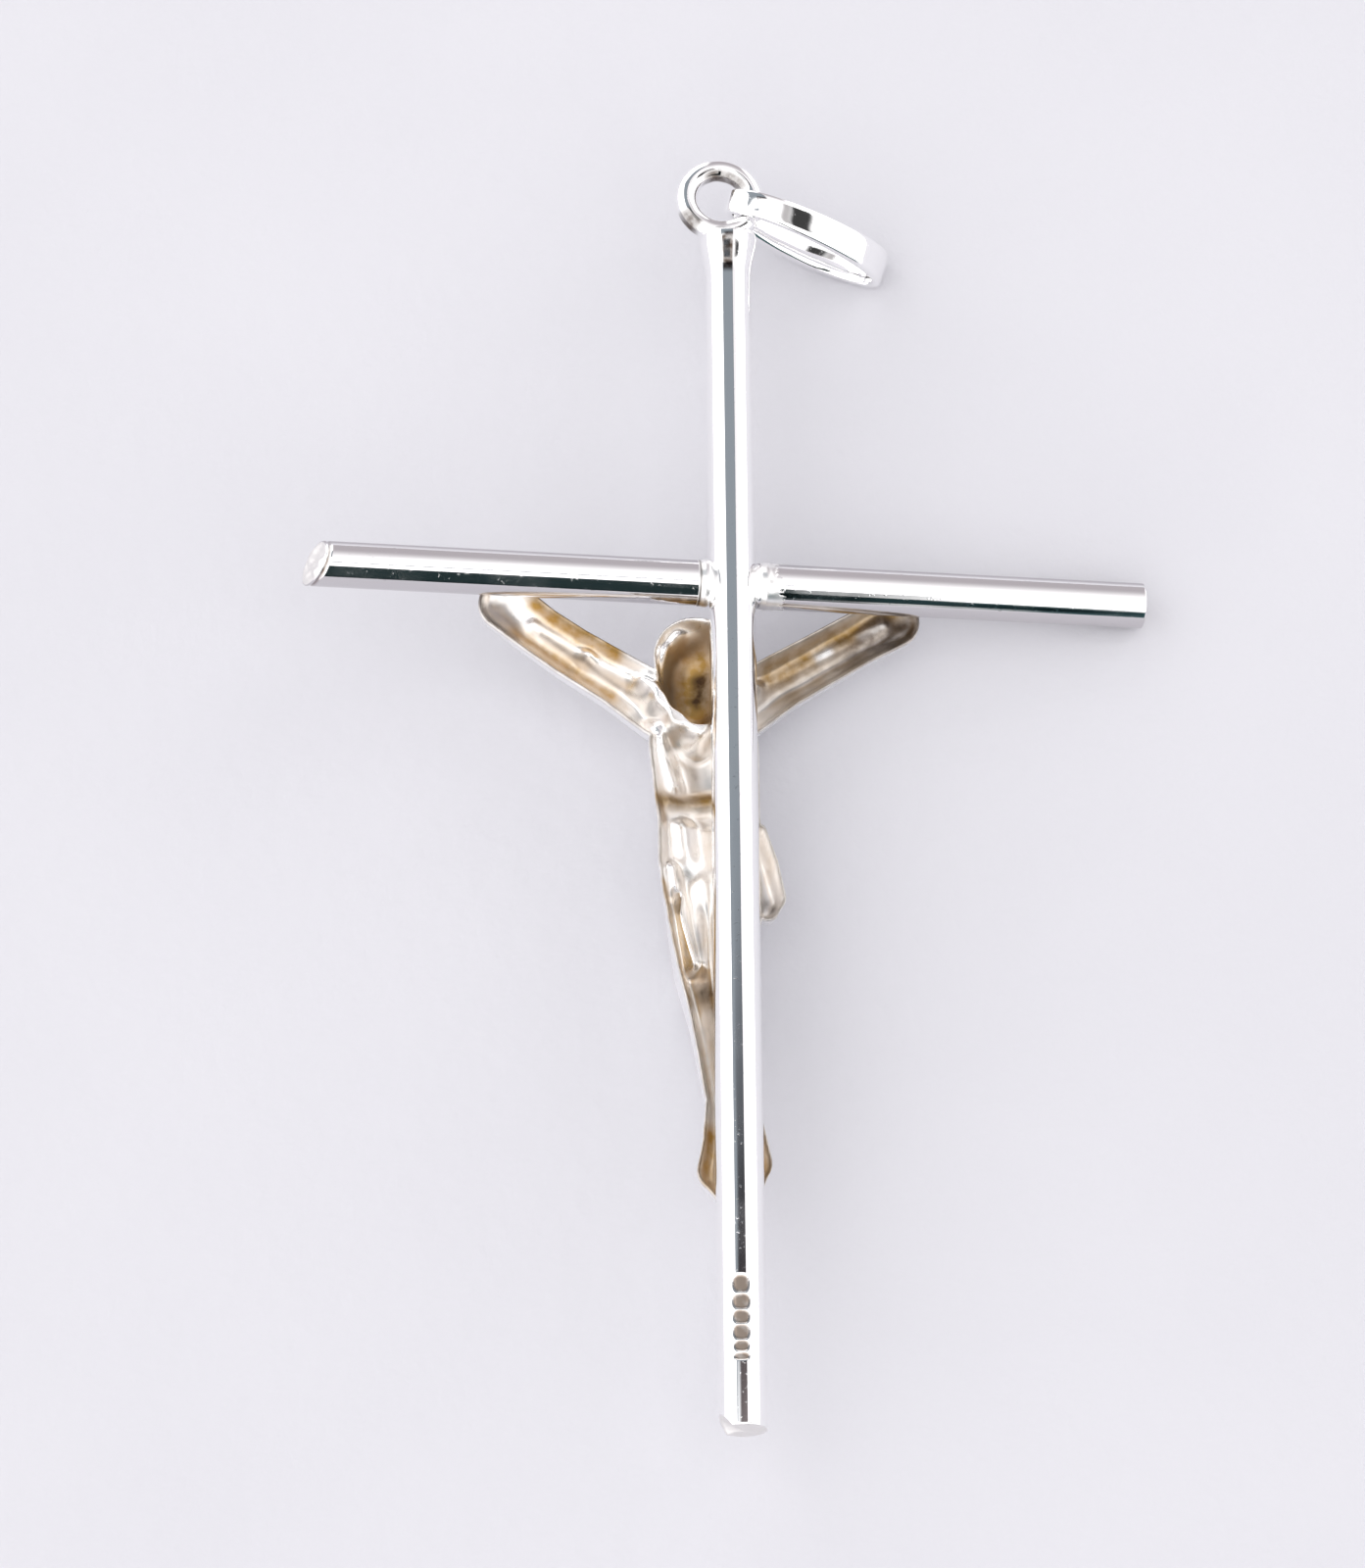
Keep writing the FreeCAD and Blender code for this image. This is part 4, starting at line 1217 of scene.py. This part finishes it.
class PENDANT_OT_ring(bpy.types.Operator):
    """Make the top ring and its solder"""

    bl_idname = "pendant.ring"
    bl_label = "Ring"

    def execute(self, context):
        looks = shared_looks()
        make_ring(context.scene.pendant_ring, looks["bail_metal"], looks["solder"])
        return {"FINISHED"}


class PENDANT_OT_bail(bpy.types.Operator):
    """Make the loose bail"""

    bl_idname = "pendant.bail"
    bl_label = "Bail"

    def execute(self, context):
        make_bail(context.scene.pendant_bail, shared_looks()["bail_metal"])
        return {"FINISHED"}


class PENDANT_OT_figure(bpy.types.Operator):
    """Make the hollow-backed figure"""

    bl_idname = "pendant.figure"
    bl_label = "Figure"

    def execute(self, context):
        make_figure(context.scene.pendant_figure, shared_looks()["figure_metal"])
        return {"FINISHED"}


class PENDANT_OT_stage(bpy.types.Operator):
    """Make the paper, the soft light and the camera"""

    bl_idname = "pendant.stage"
    bl_label = "Stage"

    def execute(self, context):
        stage = context.scene.pendant_stage
        context.scene.view_settings.view_transform = "Standard"
        make_floor(stage)
        light_surround(stage)
        make_camera(stage)
        return {"FINISHED"}


class PENDANT_PT_panel(bpy.types.Panel):
    """Lists the pendant's pieces in the sidebar"""

    bl_label = "Pendant"
    bl_idname = "PENDANT_PT_panel"
    bl_space_type = "VIEW_3D"
    bl_region_type = "UI"
    bl_category = "Pendant"

    def draw(self, context):
        for operator in OPERATORS:
            self.layout.operator(operator.bl_idname)


OPERATORS = (PENDANT_OT_rods, PENDANT_OT_solder, PENDANT_OT_ring, PENDANT_OT_bail, PENDANT_OT_figure,
             PENDANT_OT_stage)
GROUPS = {"pendant_rods": RodSizes, "pendant_ring": RingSizes, "pendant_bail": BailSizes,
          "pendant_figure": FigureSizes, "pendant_finish": Finish, "pendant_stage": StageLook}


def register():
    """Register every class and hang the settings on the scene."""
    for item in (*GROUPS.values(), *OPERATORS, PENDANT_PT_panel):
        bpy.utils.register_class(item)
    for name, group in GROUPS.items():
        setattr(bpy.types.Scene, name, PointerProperty(type=group))


def unregister():
    """Take the settings and classes away again."""
    for name in GROUPS:
        delattr(bpy.types.Scene, name)
    for item in reversed((*GROUPS.values(), *OPERATORS, PENDANT_PT_panel)):
        bpy.utils.unregister_class(item)


def main():
    """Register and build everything."""
    register()
    bpy.ops.pendant.rods()
    bpy.ops.pendant.solder()
    bpy.ops.pendant.ring()
    bpy.ops.pendant.bail()
    bpy.ops.pendant.figure()
    bpy.ops.pendant.stage()


if __name__ == "__main__":
    main()
